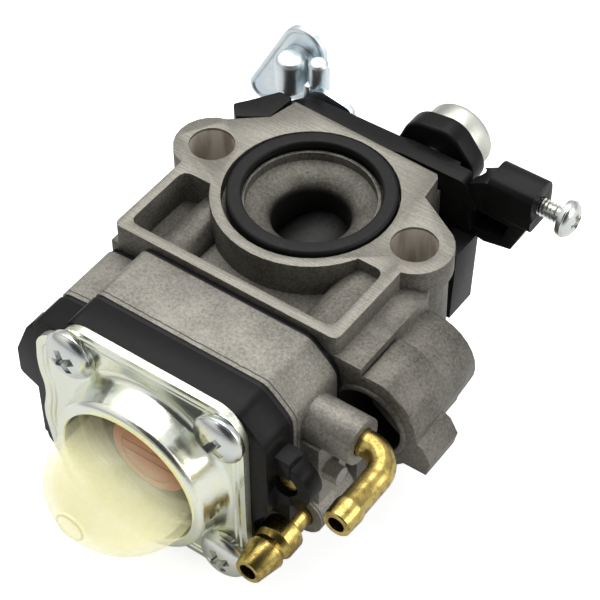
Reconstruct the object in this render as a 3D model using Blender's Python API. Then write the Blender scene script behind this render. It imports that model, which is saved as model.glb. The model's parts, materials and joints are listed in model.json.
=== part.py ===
"""Rotary-barrel diaphragm carburetor with a primer bulb, modelled as separate pieces.

Frame: +Z is the throat axis and points out of the machined flange, +Y is the barrel axis and points
to the throttle lever, and the origin is the throat's centre on the flange face.  Sizes below are in
millimetres and become metres in point().
"""

from math import cos, pi, radians, sin

import bmesh
import bpy
from mathutils import Matrix, Vector

MM = 0.001

# Flange and throat
HOLE_X = 15.5          # mounting holes at plus and minus this X
HOLE_R = 3.0
LUG_R = 5.0
FLANGE_T = 3.3
BODY_DEPTH = 30.0
EDGE_X = 16.7
FRONT_Y = -18.3        # machined face for the pump side
BACK_Y = 12.6          # face for the throttle bracket
BORE_R = 5.1
FUNNEL_R = 8.4
LIP_Z = -1.0           # top of the thin lip inside the O-ring groove
GROOVE_IN_R = 8.8
GROOVE_OUT_R = 11.3
RING_WALL_R = 12.7
POCKET_Z = -5.0

# Throttle barrel, along Y through the throat
BARREL_Z = -15.8
CHAMBER_R = 8.0
BARREL_R = 7.95
BARREL_LOW, BARREL_HIGH = -8.2, 7.6
SHAFT_R = 2.5

# Stack of the pump and metering side, along Y from the body's front face
BLOCK_BACK, BLOCK_FRONT = -19.1, -27.9
BASE_BACK, BASE_FRONT = -28.55, -33.4
PLATE_FRONT = -34.5
SEAL_T = 0.3
STACK_X, STACK_Z = 0.9, -15.8
SCREW_DX, SCREW_DZ = 11.1, 11.2

# Primer bulb
BULB_R = 9.5
BULB_SEAT_Y = -39.4
BULB_TIP_Y = -49.6

# Right-hand tube casting
TUBE_X, TUBE_Z = 21.4, -11.2
TUBE_R, TUBE_FAR_R, TUBE_BORE_R = 7.0, 6.1, 4.7
TUBE_FAR_Y = -4.0

# Throttle end
BRACKET_Y0, BRACKET_Y1 = 12.95, 15.9
LEVER_Y0, LEVER_Y1 = 16.6, 17.5
ARM_Y0, ARM_Y1 = 20.7, 21.5
SWIVEL_X, SWIVEL_Z = -16.3, -1.4
NIPPLE_X, NIPPLE_Z = 18.0, -22.2
ELBOW_X, ELBOW_Z = 28.5, -8.2
BRACKET_SCREWS = (("a", 10.9, -14.0), ("b", -2.0, -26.0))
ADJUSTER_X, ADJUSTER_Z = 7.4, -3.6
IDLE_Y, IDLE_Z = 16.0, -1.6


def clear_scene():
    """Remove every object that the scene starts with."""
    for item in list(bpy.data.objects):
        bpy.data.objects.remove(item, do_unlink=True)


def finish(name, colour, roughness, metallic):
    """Return the Principled material called name."""
    material = bpy.data.materials.new(name)
    material.use_nodes = True
    shader = material.node_tree.nodes["Principled BSDF"]
    shader.inputs["Base Color"].default_value = (*colour, 1.0)
    shader.inputs["Roughness"].default_value = roughness
    shader.inputs["Metallic"].default_value = metallic
    return material


def point(x, y, z):
    """Return a point in metres from millimetres."""
    return Vector((x, y, z)) * MM


def arc(cx, cy, radius, start, end, steps):
    """Return points on an arc in a plane; the angles are in degrees."""
    angles = [radians(start + (end - start) * i / steps) for i in range(steps + 1)]
    return [(cx + radius * cos(a), cy + radius * sin(a)) for a in angles]


def rounded(corners, radius, steps=4):
    """Return the closed outline with each corner replaced by an arc of the radius."""
    result = []
    count = len(corners)
    for i, corner in enumerate(corners):
        here = Vector(corner[:2])
        size = corner[2] if len(corner) > 2 else radius
        back = (Vector(corners[i - 1][:2]) - here)
        ahead = (Vector(corners[(i + 1) % count][:2]) - here)
        half = back.angle(ahead) / 2
        if size <= 0 or half > radians(87):
            result.append(tuple(here))
            continue
        reach = min(size / max(1e-6, abs(sin(half) / cos(half))), 0.49 * min(back.length, ahead.length))
        first, last = here + back.normalized() * reach, here + ahead.normalized() * reach
        for step in range(steps + 1):
            t = step / steps
            mid = first.lerp(here, t).lerp(here.lerp(last, t), t)
            result.append(tuple(mid))
    return result


def place(axis, u, v, along):
    """Return the point with plane coordinates u, v and the height along the axis."""
    if axis == "X":
        return point(along, u, v)
    if axis == "Y":
        return point(u, along, v)
    return point(u, v, along)


def make(name, mesh, material=None):
    """Finish a bmesh and return it as an object that is linked to the scene."""
    bmesh.ops.remove_doubles(mesh, verts=mesh.verts, dist=1e-7)
    bmesh.ops.recalc_face_normals(mesh, faces=mesh.faces)
    data = bpy.data.meshes.new(name)
    mesh.to_mesh(data)
    mesh.free()
    data.shade_smooth()
    data.set_sharp_from_angle(angle=radians(35))
    made = bpy.data.objects.new(name, data)
    bpy.context.scene.collection.objects.link(made)
    if material:
        data.materials.append(material)
    return made


def prism(name, outline, axis, low, high, material=None, edge=0.0):
    """Extrude a closed outline along an axis; edge bevels the rims of both end faces."""
    mesh = bmesh.new()
    base = mesh.faces.new([mesh.verts.new(place(axis, u, v, low)) for u, v in outline])
    out = bmesh.ops.extrude_face_region(mesh, geom=[base])
    moved = [item for item in out["geom"] if isinstance(item, bmesh.types.BMVert)]
    bmesh.ops.translate(mesh, verts=moved, vec=place(axis, 0, 0, high - low))
    if edge:
        index = "XYZ".index(axis)
        rims = [e for e in mesh.edges
                if abs(e.verts[0].co[index] - e.verts[1].co[index]) < 1e-9]
        bmesh.ops.bevel(mesh, geom=rims, offset=edge * MM, segments=1, affect="EDGES",
                        profile=0.5, material=-1, clamp_overlap=True)
    return make(name, mesh, material)


def lathe(name, profile, axis, centre, steps=32, material=None):
    """Turn a closed profile of (radius, along) points about an axis through the centre."""
    mesh = bmesh.new()
    rings = []
    for radius, along in profile:
        ring = []
        for i in range(steps):
            a = 2 * pi * i / steps
            offset = place(axis, radius * cos(a), radius * sin(a), along)
            ring.append(mesh.verts.new(offset + Vector(centre) * MM))
        rings.append(ring)
    for k, ring in enumerate(rings):
        after = rings[(k + 1) % len(rings)]
        if profile[k][0] == 0 and profile[(k + 1) % len(profile)][0] == 0:
            continue
        for i in range(steps):
            j = (i + 1) % steps
            mesh.faces.new((ring[i], ring[j], after[j], after[i]))
    bmesh.ops.dissolve_degenerate(mesh, dist=1e-8, edges=mesh.edges)
    return make(name, mesh, material)


def rod(name, radius, axis, centre, low, high, steps=24, material=None):
    """Return a plain cylinder along an axis through the centre."""
    return lathe(name, [(0, low), (radius, low), (radius, high), (0, high)], axis, centre, steps,
                 material)


def block(name, low, high, material=None):
    """Return a box between two corners."""
    mesh = bmesh.new()
    bmesh.ops.create_cube(mesh, size=1.0)
    size, middle = point(*high) - point(*low), (point(*high) + point(*low)) / 2
    bmesh.ops.scale(mesh, vec=size, verts=mesh.verts)
    bmesh.ops.translate(mesh, vec=middle, verts=mesh.verts)
    return make(name, mesh, material)


def sweep(name, path, radius, sides=10, material=None):
    """Return a closed tube that follows the path of points, in millimetres."""
    mesh = bmesh.new()
    points = [Vector(p) * MM for p in path]
    normal = (points[1] - points[0]).orthogonal().normalized()
    rings = []
    for i, here in enumerate(points):
        ahead = points[min(i + 1, len(points) - 1)] - points[max(i - 1, 0)]
        tangent = ahead.normalized()
        normal = (normal - tangent * normal.dot(tangent)).normalized()
        side = tangent.cross(normal)
        ring = []
        for k in range(sides):
            a = 2 * pi * k / sides
            ring.append(mesh.verts.new(here + (normal * cos(a) + side * sin(a)) * radius * MM))
        rings.append(ring)
    for first, second in zip(rings, rings[1:]):
        for k in range(sides):
            j = (k + 1) % sides
            mesh.faces.new((first[k], first[j], second[j], second[k]))
    mesh.faces.new(rings[0])
    mesh.faces.new(rings[-1])
    return make(name, mesh, material)


def combine(target, tool, operation):
    """Add a live Boolean to the target and hide its tool."""
    modifier = target.modifiers.new(tool.name, "BOOLEAN")
    modifier.operation = operation
    modifier.object = tool
    modifier.solver = "EXACT"
    tool.hide_render = True
    tool.display_type = "WIRE"
    return target


def cut(target, *tools):
    """Subtract each tool from the target."""
    for tool in tools:
        combine(target, tool, "DIFFERENCE")
    return target


def weld(target, *tools):
    """Unite each tool with the target."""
    for tool in tools:
        combine(target, tool, "UNION")
    return target


def set_origin(item, x, y, z):
    """Move the object's origin to a point, in millimetres, without moving its mesh."""
    where = point(x, y, z)
    item.data.transform(Matrix.Translation(-where))
    item.location = where


def flange_outline():
    """Return the flange's outline in X and Y, counter-clockwise from the front left corner."""
    outline = rounded([(-EDGE_X, -8, 0), (-EDGE_X, FRONT_Y, 0.9), (EDGE_X, FRONT_Y, 1.1),
                       (EDGE_X, -8, 0)], 1.0)
    outline += arc(HOLE_X, 0, LUG_R, -76, 54, 10)
    outline += [(12.0, 7.6), (11.5, 11.3), (11.0, 11.9), (-9.9, BACK_Y), (-11.4, BACK_Y),
                (-12.4, 8.4)]
    outline += arc(-HOLE_X, 0, LUG_R, 104, 256, 10)
    return outline


def lower_outline():
    """Return the outline of the housing between its two flanges."""
    return [(-17.4, FRONT_Y), (19.9, FRONT_Y), (19.9, -3.6), (17.6, 1.5), (11.6, 8.2),
            (11.2, BACK_Y), (-11.2, BACK_Y), (-12.2, 8.2), (-17.2, 3.4), (-17.4, -4.4)]


def carburetor_body(material):
    """Housing: two flanges on one core, with the throat, barrel chamber and tube casting."""
    body = prism("carburetor_body", flange_outline(), "Z", -FLANGE_T - 0.4, 0.0, material)
    core = prism("body_core", lower_outline(), "Z", -BODY_DEPTH + 2.6, -FLANGE_T)
    foot = prism("body_foot", flange_outline(), "Z", -BODY_DEPTH, -BODY_DEPTH + 3.0)
    tube = lathe("tube_casting", [(0, FRONT_Y), (TUBE_R, FRONT_Y), (TUBE_FAR_R, TUBE_FAR_Y),
                                  (0, TUBE_FAR_Y)], "Y", (TUBE_X, 0, TUBE_Z), 28)
    shoulder = block("tube_shoulder", (15.0, FRONT_Y, -9.0), (20.2, TUBE_FAR_Y, -2.9))
    bulge = rod("tube_bulge", 4.3, "Y", (20.6, 0, -18.7), FRONT_Y + 4, TUBE_FAR_Y + 1, 18)
    ear = prism("tube_ear", [(23.0, -16.0), (29.8, -15.9), (30.3, -13.6), (29.2, -11.6), (27.4, -10.6),
                             (23.0, -10.0)], "Y", FRONT_Y + 0.1, FRONT_Y + 6.2)
    columns = [rod("column_" + tag, LUG_R - 0.6, "Z", (x, 0, 0), -BODY_DEPTH + 1, -1, 20)
               for tag, x in (("left", -HOLE_X), ("right", HOLE_X))]
    weld(body, core, foot, tube, shoulder, bulge, ear, *columns)

    groove = lathe("groove_cut", [(GROOVE_IN_R, -2.2), (GROOVE_OUT_R, -2.2), (GROOVE_OUT_R, 1.0),
                                  (GROOVE_IN_R, 1.0)], "Z", (0, 0, 0), 48)
    throat = lathe("throat_cut", [(0, 1.0), (FUNNEL_R, 1.0), (FUNNEL_R, -2.3), (7.2, -2.75),
                                  (6.0, -3.3), (5.35, -3.9), (BORE_R, -4.6), (BORE_R, -31.0),
                                  (0, -31.0)], "Z", (0, 0, 0), 48)
    lip = rod("lip_cut", GROOVE_IN_R + 0.2, "Z", (0, 0, 0), LIP_Z, 1.0, 48)
    chamber = rod("chamber_cut", CHAMBER_R, "Y", (0, 0, BARREL_Z), BARREL_LOW - 0.1, BACK_Y + 1, 40)
    holes = [rod("hole_cut_" + tag, HOLE_R, "Z", (x, 0, 0), -32, 1, 24)
             for tag, x in (("left", -HOLE_X), ("right", HOLE_X))]
    bore = rod("tube_cut", TUBE_BORE_R, "Y", (TUBE_X, 0, TUBE_Z), FRONT_Y - 1, -6.5, 28)
    nozzle = rod("nozzle_cut", 1.3, "Y", (0, 0, BARREL_Z), FRONT_Y - 1, -7.0, 12)

    pocket = prism("pocket_cut", rounded([(-15.4, -5.9), (-15.4, -16.9), (15.1, -16.9),
                                          (15.1, -5.9)], 1.4), "Z", POCKET_Z, 1.0)
    cut(pocket, rod("pocket_island", RING_WALL_R, "Z", (0, 0, 0), -8, 2, 48),
        rod("screw_boss_left", 2.6, "Y", (-10.2, 0, -4.6), FRONT_Y, -6.0, 24),
        rod("screw_boss_right", 2.8, "Y", (12.0, 0, -4.6), FRONT_Y, -5.0, 24),
        block("screw_boss_web", (12.0, FRONT_Y, -6.0), (16.0, -5.0, -1.8)))
    posts = [rod("bracket_tap_" + tag, 1.2, "Y", (x, 0, z), 6.5, BACK_Y + 1, 12)
             for tag, x, z in BRACKET_SCREWS]
    taps = [rod("stack_tap_%d" % i, 1.45, "Y", (x, 0, z), FRONT_Y - 1, FRONT_Y + 5.5, 12)
            for i, (x, z) in enumerate(screw_places())]
    cut(body, groove, throat, lip, chamber, *holes, bore, nozzle, pocket, *posts, *taps)
    return body


def screw_places():
    """Return the X and Z of the four screws through the stack."""
    return [(STACK_X + sx * SCREW_DX, STACK_Z + sz * SCREW_DZ)
            for sx, sz in ((-1, 1), (1, 1), (1, -1), (-1, -1))]


def flange_o_ring(material):
    """Flat-topped rubber ring in the flange groove."""
    inner, outer = GROOVE_IN_R + 0.15, GROOVE_OUT_R - 0.15
    return lathe("flange_o_ring", [(inner, -1.9), (outer, -1.9), (outer, -0.2), (outer - 0.5, 0.3),
                                   (inner + 0.5, 0.3), (inner, -0.1)], "Z", (0, 0, 0), 40, material)


def stack_outline(grow=0.0):
    """Return the outline of the block, gaskets and base in X and Z."""
    g = grow
    return rounded([(-11.6 - g, -0.9 + g, 1.2), (-12.8 - g, -3.9 + g, 0.8), (-17.6 - g, -4.3 + g, 1.6),
                    (-17.8 - g, -27.0, 1.5), (-14.0 - g, -31.0 - g, 2.0), (13.0, -31.0 - g, 3.0),
                    (15.2 + g, -27.0, 2.5), (15.2 + g, -19.8, 1.5), (17.4 + g, -17.0, 1.5),
                    (17.4 + g, -4.6, 2.6), (13.6 + g, -0.9 + g, 2.4)], 1.5, 3)


def seal(name, back, material, window):
    """Thin sheet between two castings, with screw holes and a centre window."""
    sheet = prism(name, stack_outline(-0.15), "Y", back - SEAL_T, back, material)
    tools = [rod("%s_hole_%d" % (name, i), 2.1, "Y", (x, 0, z), back - 2, back + 2, 12)
             for i, (x, z) in enumerate(screw_places())]
    if window:
        tools.append(rod(name + "_window", window, "Y", (STACK_X, 0, STACK_Z), back - 2, back + 2, 28))
    return cut(sheet, *tools)


def metering_block(material):
    """Middle casting with the metering chamber and the two bosses for the fuel nipples."""
    body = prism("metering_block", stack_outline(), "Y", BLOCK_FRONT, BLOCK_BACK, material)
    elbow_boss = rod("elbow_boss", 3.1, "X", (0, -23.5, ELBOW_Z), 14.0, 24.2, 24)
    nipple_boss = rod("nipple_boss", 3.2, "Y", (NIPPLE_X, 0, NIPPLE_Z), -27.6, BLOCK_BACK - 1.4, 24)
    web = block("boss_web", (14.0, -26.8, -19.8), (20.2, -21.2, -9.6))
    pins = [rod("web_pin_%d" % i, 1.25, "X", (0, -25.2 + i * 1.9, -14.3), 15.0, 22.4 - i * 1.2, 12)
            for i in range(2)]
    weld(body, elbow_boss, nipple_boss, web, *pins)
    chamber = rod("metering_cut", 8.2, "Y", (STACK_X, 0, STACK_Z), BLOCK_FRONT - 1, -23.6, 28)
    seat = rod("needle_cut", 1.25, "Y", (STACK_X - 5.2, 0, STACK_Z), -24.0, BLOCK_BACK - 1.0, 12)
    inlet = rod("inlet_cut", 1.85, "X", (0, -23.5, ELBOW_Z), 15.5, 26.0, 14)
    outlet = rod("outlet_cut", 1.85, "Y", (NIPPLE_X, 0, NIPPLE_Z), -29.0, -22.0, 14)
    screen = rod("screen_cut", 3.3, "Y", (STACK_X + 11.0, 0, STACK_Z), -21.2, BLOCK_BACK + 1, 20)
    holes = [rod("block_hole_%d" % i, 2.1, "Y", (x, 0, z), -30, -17, 14)
             for i, (x, z) in enumerate(screw_places())]
    return cut(body, chamber, seat, inlet, outlet, screen, *holes)


def primer_base(material):
    """Black plastic base with side lugs and a boss for the brass plug."""
    body = prism("primer_base", stack_outline(), "Y", BASE_FRONT, BASE_BACK, material)
    lug = prism("base_lug", rounded([(-16.0, -6.4), (-18.7, -6.4), (-21.0, -12.0), (-21.0, -16.2),
                                     (-18.2, -17.6), (-16.0, -17.6)], 1.0, 3), "Y", BASE_FRONT,
                BASE_FRONT + 3.0)
    rail = prism("base_rail", [(-16.0, -16.0), (-18.3, -16.5), (-18.2, -26.0), (-16.0, -27.0)], "Y",
                 BASE_FRONT, BASE_FRONT + 3.8)
    boss = rod("plug_boss", 3.5, "Y", (18.8, 0, -12.0), -31.6, BASE_BACK - 0.5, 24)
    web = block("plug_web", (12.0, -31.8, -18.0), (19.5, BASE_BACK - 0.5, -7.5))
    weld(body, lug, rail, boss, web)
    well = rod("primer_well", 8.6, "Y", (STACK_X, 0, STACK_Z), BASE_FRONT - 1, BASE_FRONT + 3.2, 28)
    hollow = rod("air_well", 7.6, "Y", (STACK_X, 0, STACK_Z), BASE_FRONT + 4.0, BASE_BACK + 1, 28)
    vent = rod("vent_cut", 0.8, "Y", (STACK_X + 6.2, 0, STACK_Z), BASE_FRONT, BASE_BACK, 10)
    plug = rod("plug_cut", 1.7, "Y", (18.8, 0, -12.0), -33.0, -29.6, 16)
    stem = rod("valve_cut", 1.1, "Y", (STACK_X, 0, STACK_Z), BASE_FRONT + 1, BASE_BACK + 1, 12)
    holes = [rod("base_hole_%d" % i, 2.1, "Y", (x, 0, z), -36, -26, 14)
             for i, (x, z) in enumerate(screw_places())]
    return cut(body, well, hollow, vent, plug, stem, *holes)


def plate_outline():
    """Return the retainer plate's outline in X and Z, with its notches on the left."""
    return rounded([(-10.6, -0.3, 3.0), (12.6, -0.3, 2.6), (15.0, -3.0, 2.4), (15.0, -28.6, 3.0),
                    (12.6, -31.5, 3.0), (-10.4, -31.5, 3.0), (-15.4, -28.0, 2.5),
                    (-16.7, -20.0, 1.5), (-15.7, -15.2, 1.5), (-16.7, -11.0, 2.0),
                    (-16.2, -5.2, 1.2), (-12.6, -3.6, 0.6)], 2.0, 3)


def retainer_plate(material):
    """Stamped plate with a raised round turret that holds the bulb."""
    plate = prism("retainer_plate", plate_outline(), "Y", PLATE_FRONT, BASE_FRONT - 0.05, material)
    centre = (STACK_X, 0, STACK_Z)
    turret = lathe("turret", [(0, BASE_FRONT - 0.4), (11.95, BASE_FRONT - 0.4),
                              (11.95, PLATE_FRONT - 0.5), (11.8, PLATE_FRONT - 1.4),
                              (11.3, BULB_SEAT_Y + 0.8), (10.8, BULB_SEAT_Y), (0, BULB_SEAT_Y)],
                   "Y", centre, 40)
    weld(plate, turret)
    hollow = lathe("turret_cut", [(0, BASE_FRONT + 1), (11.1, BASE_FRONT + 1), (11.1, PLATE_FRONT - 0.2),
                                  (10.95, PLATE_FRONT - 1.4), (10.5, BULB_SEAT_Y + 1.0),
                                  (BULB_R + 0.15, BULB_SEAT_Y + 0.9), (BULB_R + 0.15, BULB_SEAT_Y - 1),
                                  (0, BULB_SEAT_Y - 1)], "Y", centre, 36)
    window = block("window_cut", (10.6, -38.0, -17.6), (14.0, -36.0, -15.6))
    holes = [rod("plate_hole_%d" % i, 2.0, "Y", (x, 0, z), -40, -30, 14)
             for i, (x, z) in enumerate(screw_places())]
    return cut(plate, hollow, window, *holes)


def pan_screw(name, x, z, head_y, tip_y, head_r, shank_r, material):
    """Pan-head screw along Y with a cross recess; the head faces -Y when tip_y is larger."""
    s = 1 if tip_y > head_y else -1
    high = 1.05 * head_r * 0.62
    screw = lathe(name, [(0, head_y - s * high), (head_r * 0.62, head_y - s * high * 0.96),
                         (head_r * 0.93, head_y - s * high * 0.62), (head_r, head_y - s * high * 0.2),
                         (head_r, head_y), (shank_r, head_y), (shank_r, tip_y), (0, tip_y)], "Y",
                  (x, 0, z), 20, material)
    top = head_y - s * high
    for tag, wide, tall in (("a", 0.30, 1.15), ("b", 1.15, 0.30)):
        arm = head_r * 0.55
        tool = block("%s_slot_%s" % (name, tag),
                     (x - arm * wide, min(top - s, top + s * high * 0.62), z - arm * tall),
                     (x + arm * wide, max(top - s, top + s * high * 0.62), z + arm * tall))
        cut(screw, tool)
    return screw


def primer_bulb(material):
    """Hollow dome with a bead inside the turret and a small nub on its tip."""
    length = BULB_SEAT_Y - BULB_TIP_Y
    outer = [(BULB_R * cos(a), BULB_SEAT_Y - length * sin(a))
             for a in [radians(90 - 90 * i / 9) for i in range(10)]]
    inner = [((BULB_R - 1.1) * cos(a), BULB_SEAT_Y - (length - 1.1) * sin(a))
             for a in [radians(90 * i / 7) for i in range(8)]]
    outer[0], inner[-1] = (0, BULB_TIP_Y), (0, BULB_TIP_Y + 1.1)
    foot = [(BULB_R, BASE_FRONT - 2.6), (10.9, BASE_FRONT - 2.2), (10.9, BASE_FRONT - 0.4),
            (BULB_R - 1.1, BASE_FRONT - 0.4)]
    bulb = lathe("primer_bulb", outer + foot + inner, "Y", (STACK_X, 0, STACK_Z), 28, material)
    weld(bulb, lathe("bulb_nub", [(0, BULB_TIP_Y - 0.35), (1.7, BULB_TIP_Y - 0.3),
                                  (2.1, BULB_TIP_Y + 0.05), (2.1, BULB_TIP_Y + 0.7),
                                  (0, BULB_TIP_Y + 0.7)], "Y", (STACK_X, 0, STACK_Z), 20))
    set_origin(bulb, STACK_X, BASE_FRONT, STACK_Z)
    return bulb


def primer_check_valve(material):
    """Rubber mushroom valve with a rim, a raised bar and a stem in the base."""
    valve = lathe("primer_check_valve", [(0, -35.2), (2.0, -35.2), (2.6, -34.4), (7.0, -33.9),
                                         (7.6, -33.0), (7.6, -32.0), (2.0, -31.6), (0.9, -31.2),
                                         (0.9, -30.3), (0, -30.3)], "Y", (STACK_X, 0, STACK_Z), 32,
                  material)
    bar = block("valve_bar", (STACK_X - 6.4, -34.6, STACK_Z - 0.5), (STACK_X + 6.4, -33.4, STACK_Z + 0.5))
    return weld(valve, bar)


def straight_nipple(material):
    """Barbed nipple along -Y from the block's lower boss."""
    return lathe("straight_nipple", [(1.15, -25.0), (1.7, -25.0), (1.7, -30.6), (2.55, -30.7),
                                     (2.65, -31.2), (2.65, -33.4), (2.2, -34.0), (2.5, -34.6),
                                     (2.5, -35.4), (1.75, -38.4), (1.15, -38.4)], "Y",
                 (NIPPLE_X, 0, NIPPLE_Z), 20, material)


def elbow_path(end_x, radius, steps):
    """Return the elbow's centre line: out along +X, then round to -Y."""
    bend = [(end_x - radius + radius * sin(a), -23.5 - radius + radius * cos(a), ELBOW_Z)
            for a in [radians(90 * i / steps) for i in range(steps + 1)]]
    return bend


def elbow_nipple(material):
    """Bent tube with a bore: out of the boss along +X and round to -Y."""
    bend, z = elbow_path(ELBOW_X, 3.6, 6), ELBOW_Z
    outer = [(20.0, -23.5, z), (22.5, -23.5, z)] + bend + [(ELBOW_X, -31.0, z), (ELBOW_X, -35.2, z)]
    inner = [(19.0, -23.5, z), (22.5, -23.5, z)] + bend + [(ELBOW_X, -31.0, z), (ELBOW_X, -36.0, z)]
    elbow = sweep("elbow_nipple", outer, 1.75, 14, material)
    barb = lathe("elbow_barb", [(0, -32.2), (1.7, -32.2), (2.05, -32.8), (1.85, -35.15),
                                (0, -35.15)], "Y", (ELBOW_X, 0, z), 18)
    return cut(weld(elbow, barb), sweep("elbow_cut", inner, 1.1, 12))


def throttle_barrel(material):
    """Barrel with its cross bore, a shaft for the lever and an axial needle bore."""
    z = BARREL_Z
    barrel = lathe("throttle_barrel", [(0, BARREL_LOW), (BARREL_R, BARREL_LOW), (BARREL_R, BARREL_HIGH),
                                       (SHAFT_R, BARREL_HIGH), (SHAFT_R, 19.2), (0, 19.2)], "Y",
                   (0, 0, z), 36, material)
    bore = rod("barrel_bore", BORE_R - 0.1, "X", (0, 0, z), -9, 9, 32)
    foot = rod("barrel_foot", 1.5, "Y", (0, 0, z), BARREL_LOW - 1, 0, 12)
    needle = rod("barrel_needle_cut", 0.75, "Y", (0, 0, z), 0, 20.0, 12)
    cut(barrel, bore, foot, needle)
    set_origin(barrel, 0, 0, z)
    return barrel


def fuel_nozzle(material):
    """Brass jet tube from the front face up into the barrel's foot."""
    return lathe("fuel_nozzle", [(0.75, -17.6), (1.2, -17.6), (1.2, -1.2), (0.75, -1.2)], "Y",
                 (0, 0, BARREL_Z), 14, material)


def barrel_needle(material):
    """Tapered needle with a slotted adjusting head in the lever's hub."""
    needle = lathe("barrel_needle", [(0, -3.2), (0.3, -3.2), (0.55, 4.0), (0.6, 19.6), (1.5, 19.6),
                                     (1.5, 20.4), (0, 20.4)], "Y", (0, 0, BARREL_Z), 14, material)
    cut(needle, block("needle_slot", (-2, 20.0, BARREL_Z - 0.25), (2, 21, BARREL_Z + 0.25)))
    set_origin(needle, 0, 0, BARREL_Z)
    return needle


def barrel_cover(material):
    """Cover disc over the barrel chamber, round the shaft."""
    return lathe("barrel_cover", [(SHAFT_R + 0.25, 11.2), (CHAMBER_R - 0.1, 11.2),
                                  (CHAMBER_R - 0.1, 12.5), (SHAFT_R + 0.25, 12.5)], "Y",
                 (0, 0, BARREL_Z), 28, material)


def throttle_spring(material):
    """Coil return spring round the shaft between the barrel and the cover."""
    turns, steps = 2.5, 30
    path = [(4.6 * cos(2 * pi * turns * i / steps), 8.1 + 2.6 * i / steps,
             BARREL_Z + 4.6 * sin(2 * pi * turns * i / steps)) for i in range(steps + 1)]
    return sweep("throttle_spring", path, 0.32, 6, material)


def cable_bracket(material):
    """Plastic bracket on the throttle end, with the idle screw's arm and the side tab."""
    outline = rounded([(-17.2, -5.2, 0.8), (-14.8, -4.0, 1.0), (-11.2, -1.2, 2.0), (3.0, -0.9, 0),
                       (5.0, -0.5, 0), (14.2, -0.5, 0.8), (16.2, -4.0, 1.0), (15.4, -9.4, 1.0),
                       (14.4, -13.0, 1.5), (12.0, -28.0, 2.0), (-9.0, -28.0, 3.0), (-13.5, -22.0, 2.0),
                       (-17.2, -10.0, 2.0)], 1.0, 3)
    base = prism("cable_bracket", outline, "Y", BRACKET_Y0, BRACKET_Y1, material)
    tab = prism("bracket_tab", rounded([(-16.6, 6.4), (-12.9, 8.9), (-12.5, 13.6), (-14.6, 13.6),
                                        (-17.0, 9.9), (-18.3, 8.2)], 0.6, 3), "Z", -5.0, -0.6)
    arm = prism("bracket_arm", [(14.8, -0.8), (17.0, 0.5), (23.6, 0.6), (24.1, -2.4), (21.4, -8.8),
                                (17.4, -9.6), (14.8, -9.0)], "Y", BRACKET_Y0 + 0.6, 17.0)
    hollow = prism("bracket_pocket", [(15.0, -4.6), (20.9, -5.0), (20.0, -7.6), (15.6, -7.9)], "Y",
                   BRACKET_Y0 - 1, 16.2)
    boss = prism("idle_boss", rounded([(13.4, 1.2, 1.4), (13.4, -4.5, 0.8), (18.5, -4.5, 1.6),
                                        (18.6, 1.9, 3.0)], 1.2, 5),
                 "X", 17.4, 23.9)
    wall = prism("bracket_wall", [(13.2, -9.0), (16.4, -9.0), (15.9, -21.0), (12.9, -21.0)], "Y",
                 8.8, BRACKET_Y0 + 1.0)
    weld(base, arm, boss, tab, wall)
    shaft = rod("shaft_cut", 3.4, "Y", (0, 0, BARREL_Z), 10, 18, 24)
    idle = rod("idle_cut", 1.3, "X", (0, IDLE_Y, IDLE_Z), 12, 27, 16)
    seat = rod("adjuster_cut", 2.65, "Y", (ADJUSTER_X, 0, ADJUSTER_Z), 12, 17, 18)
    holes = [rod("bracket_hole_" + tag, 1.6, "Y", (x, 0, z), 12, 17, 12)
             for tag, x, z in BRACKET_SCREWS]
    return cut(base, hollow, shaft, idle, seat, *holes)


def cable_adjuster(material):
    """Metal sleeve through the bracket with a wide cap and a cable hole."""
    sleeve = lathe("cable_adjuster", [(0.9, 13.6), (2.35, 13.6), (2.35, 20.2), (4.75, 20.2),
                                      (4.75, 23.0), (4.1, 23.7), (0.9, 23.7)], "Y",
                   (ADJUSTER_X, 0, ADJUSTER_Z), 28, material)
    set_origin(sleeve, ADJUSTER_X, 18, ADJUSTER_Z)
    return sleeve


def adjuster_collar(material):
    """Rounded-hexagon collar that locks the adjuster."""
    corners = [(ADJUSTER_X + 6.5 * cos(radians(60 * i + 8)), ADJUSTER_Z + 6.5 * sin(radians(60 * i + 8)))
               for i in range(6)]
    collar = prism("adjuster_collar", rounded(corners, 2.2, 3), "Y", 16.75, 19.9, material, 0.25)
    cut(collar, rod("collar_cut", 2.5, "Y", (ADJUSTER_X, 0, ADJUSTER_Z), 15, 22, 18))
    return collar


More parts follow.
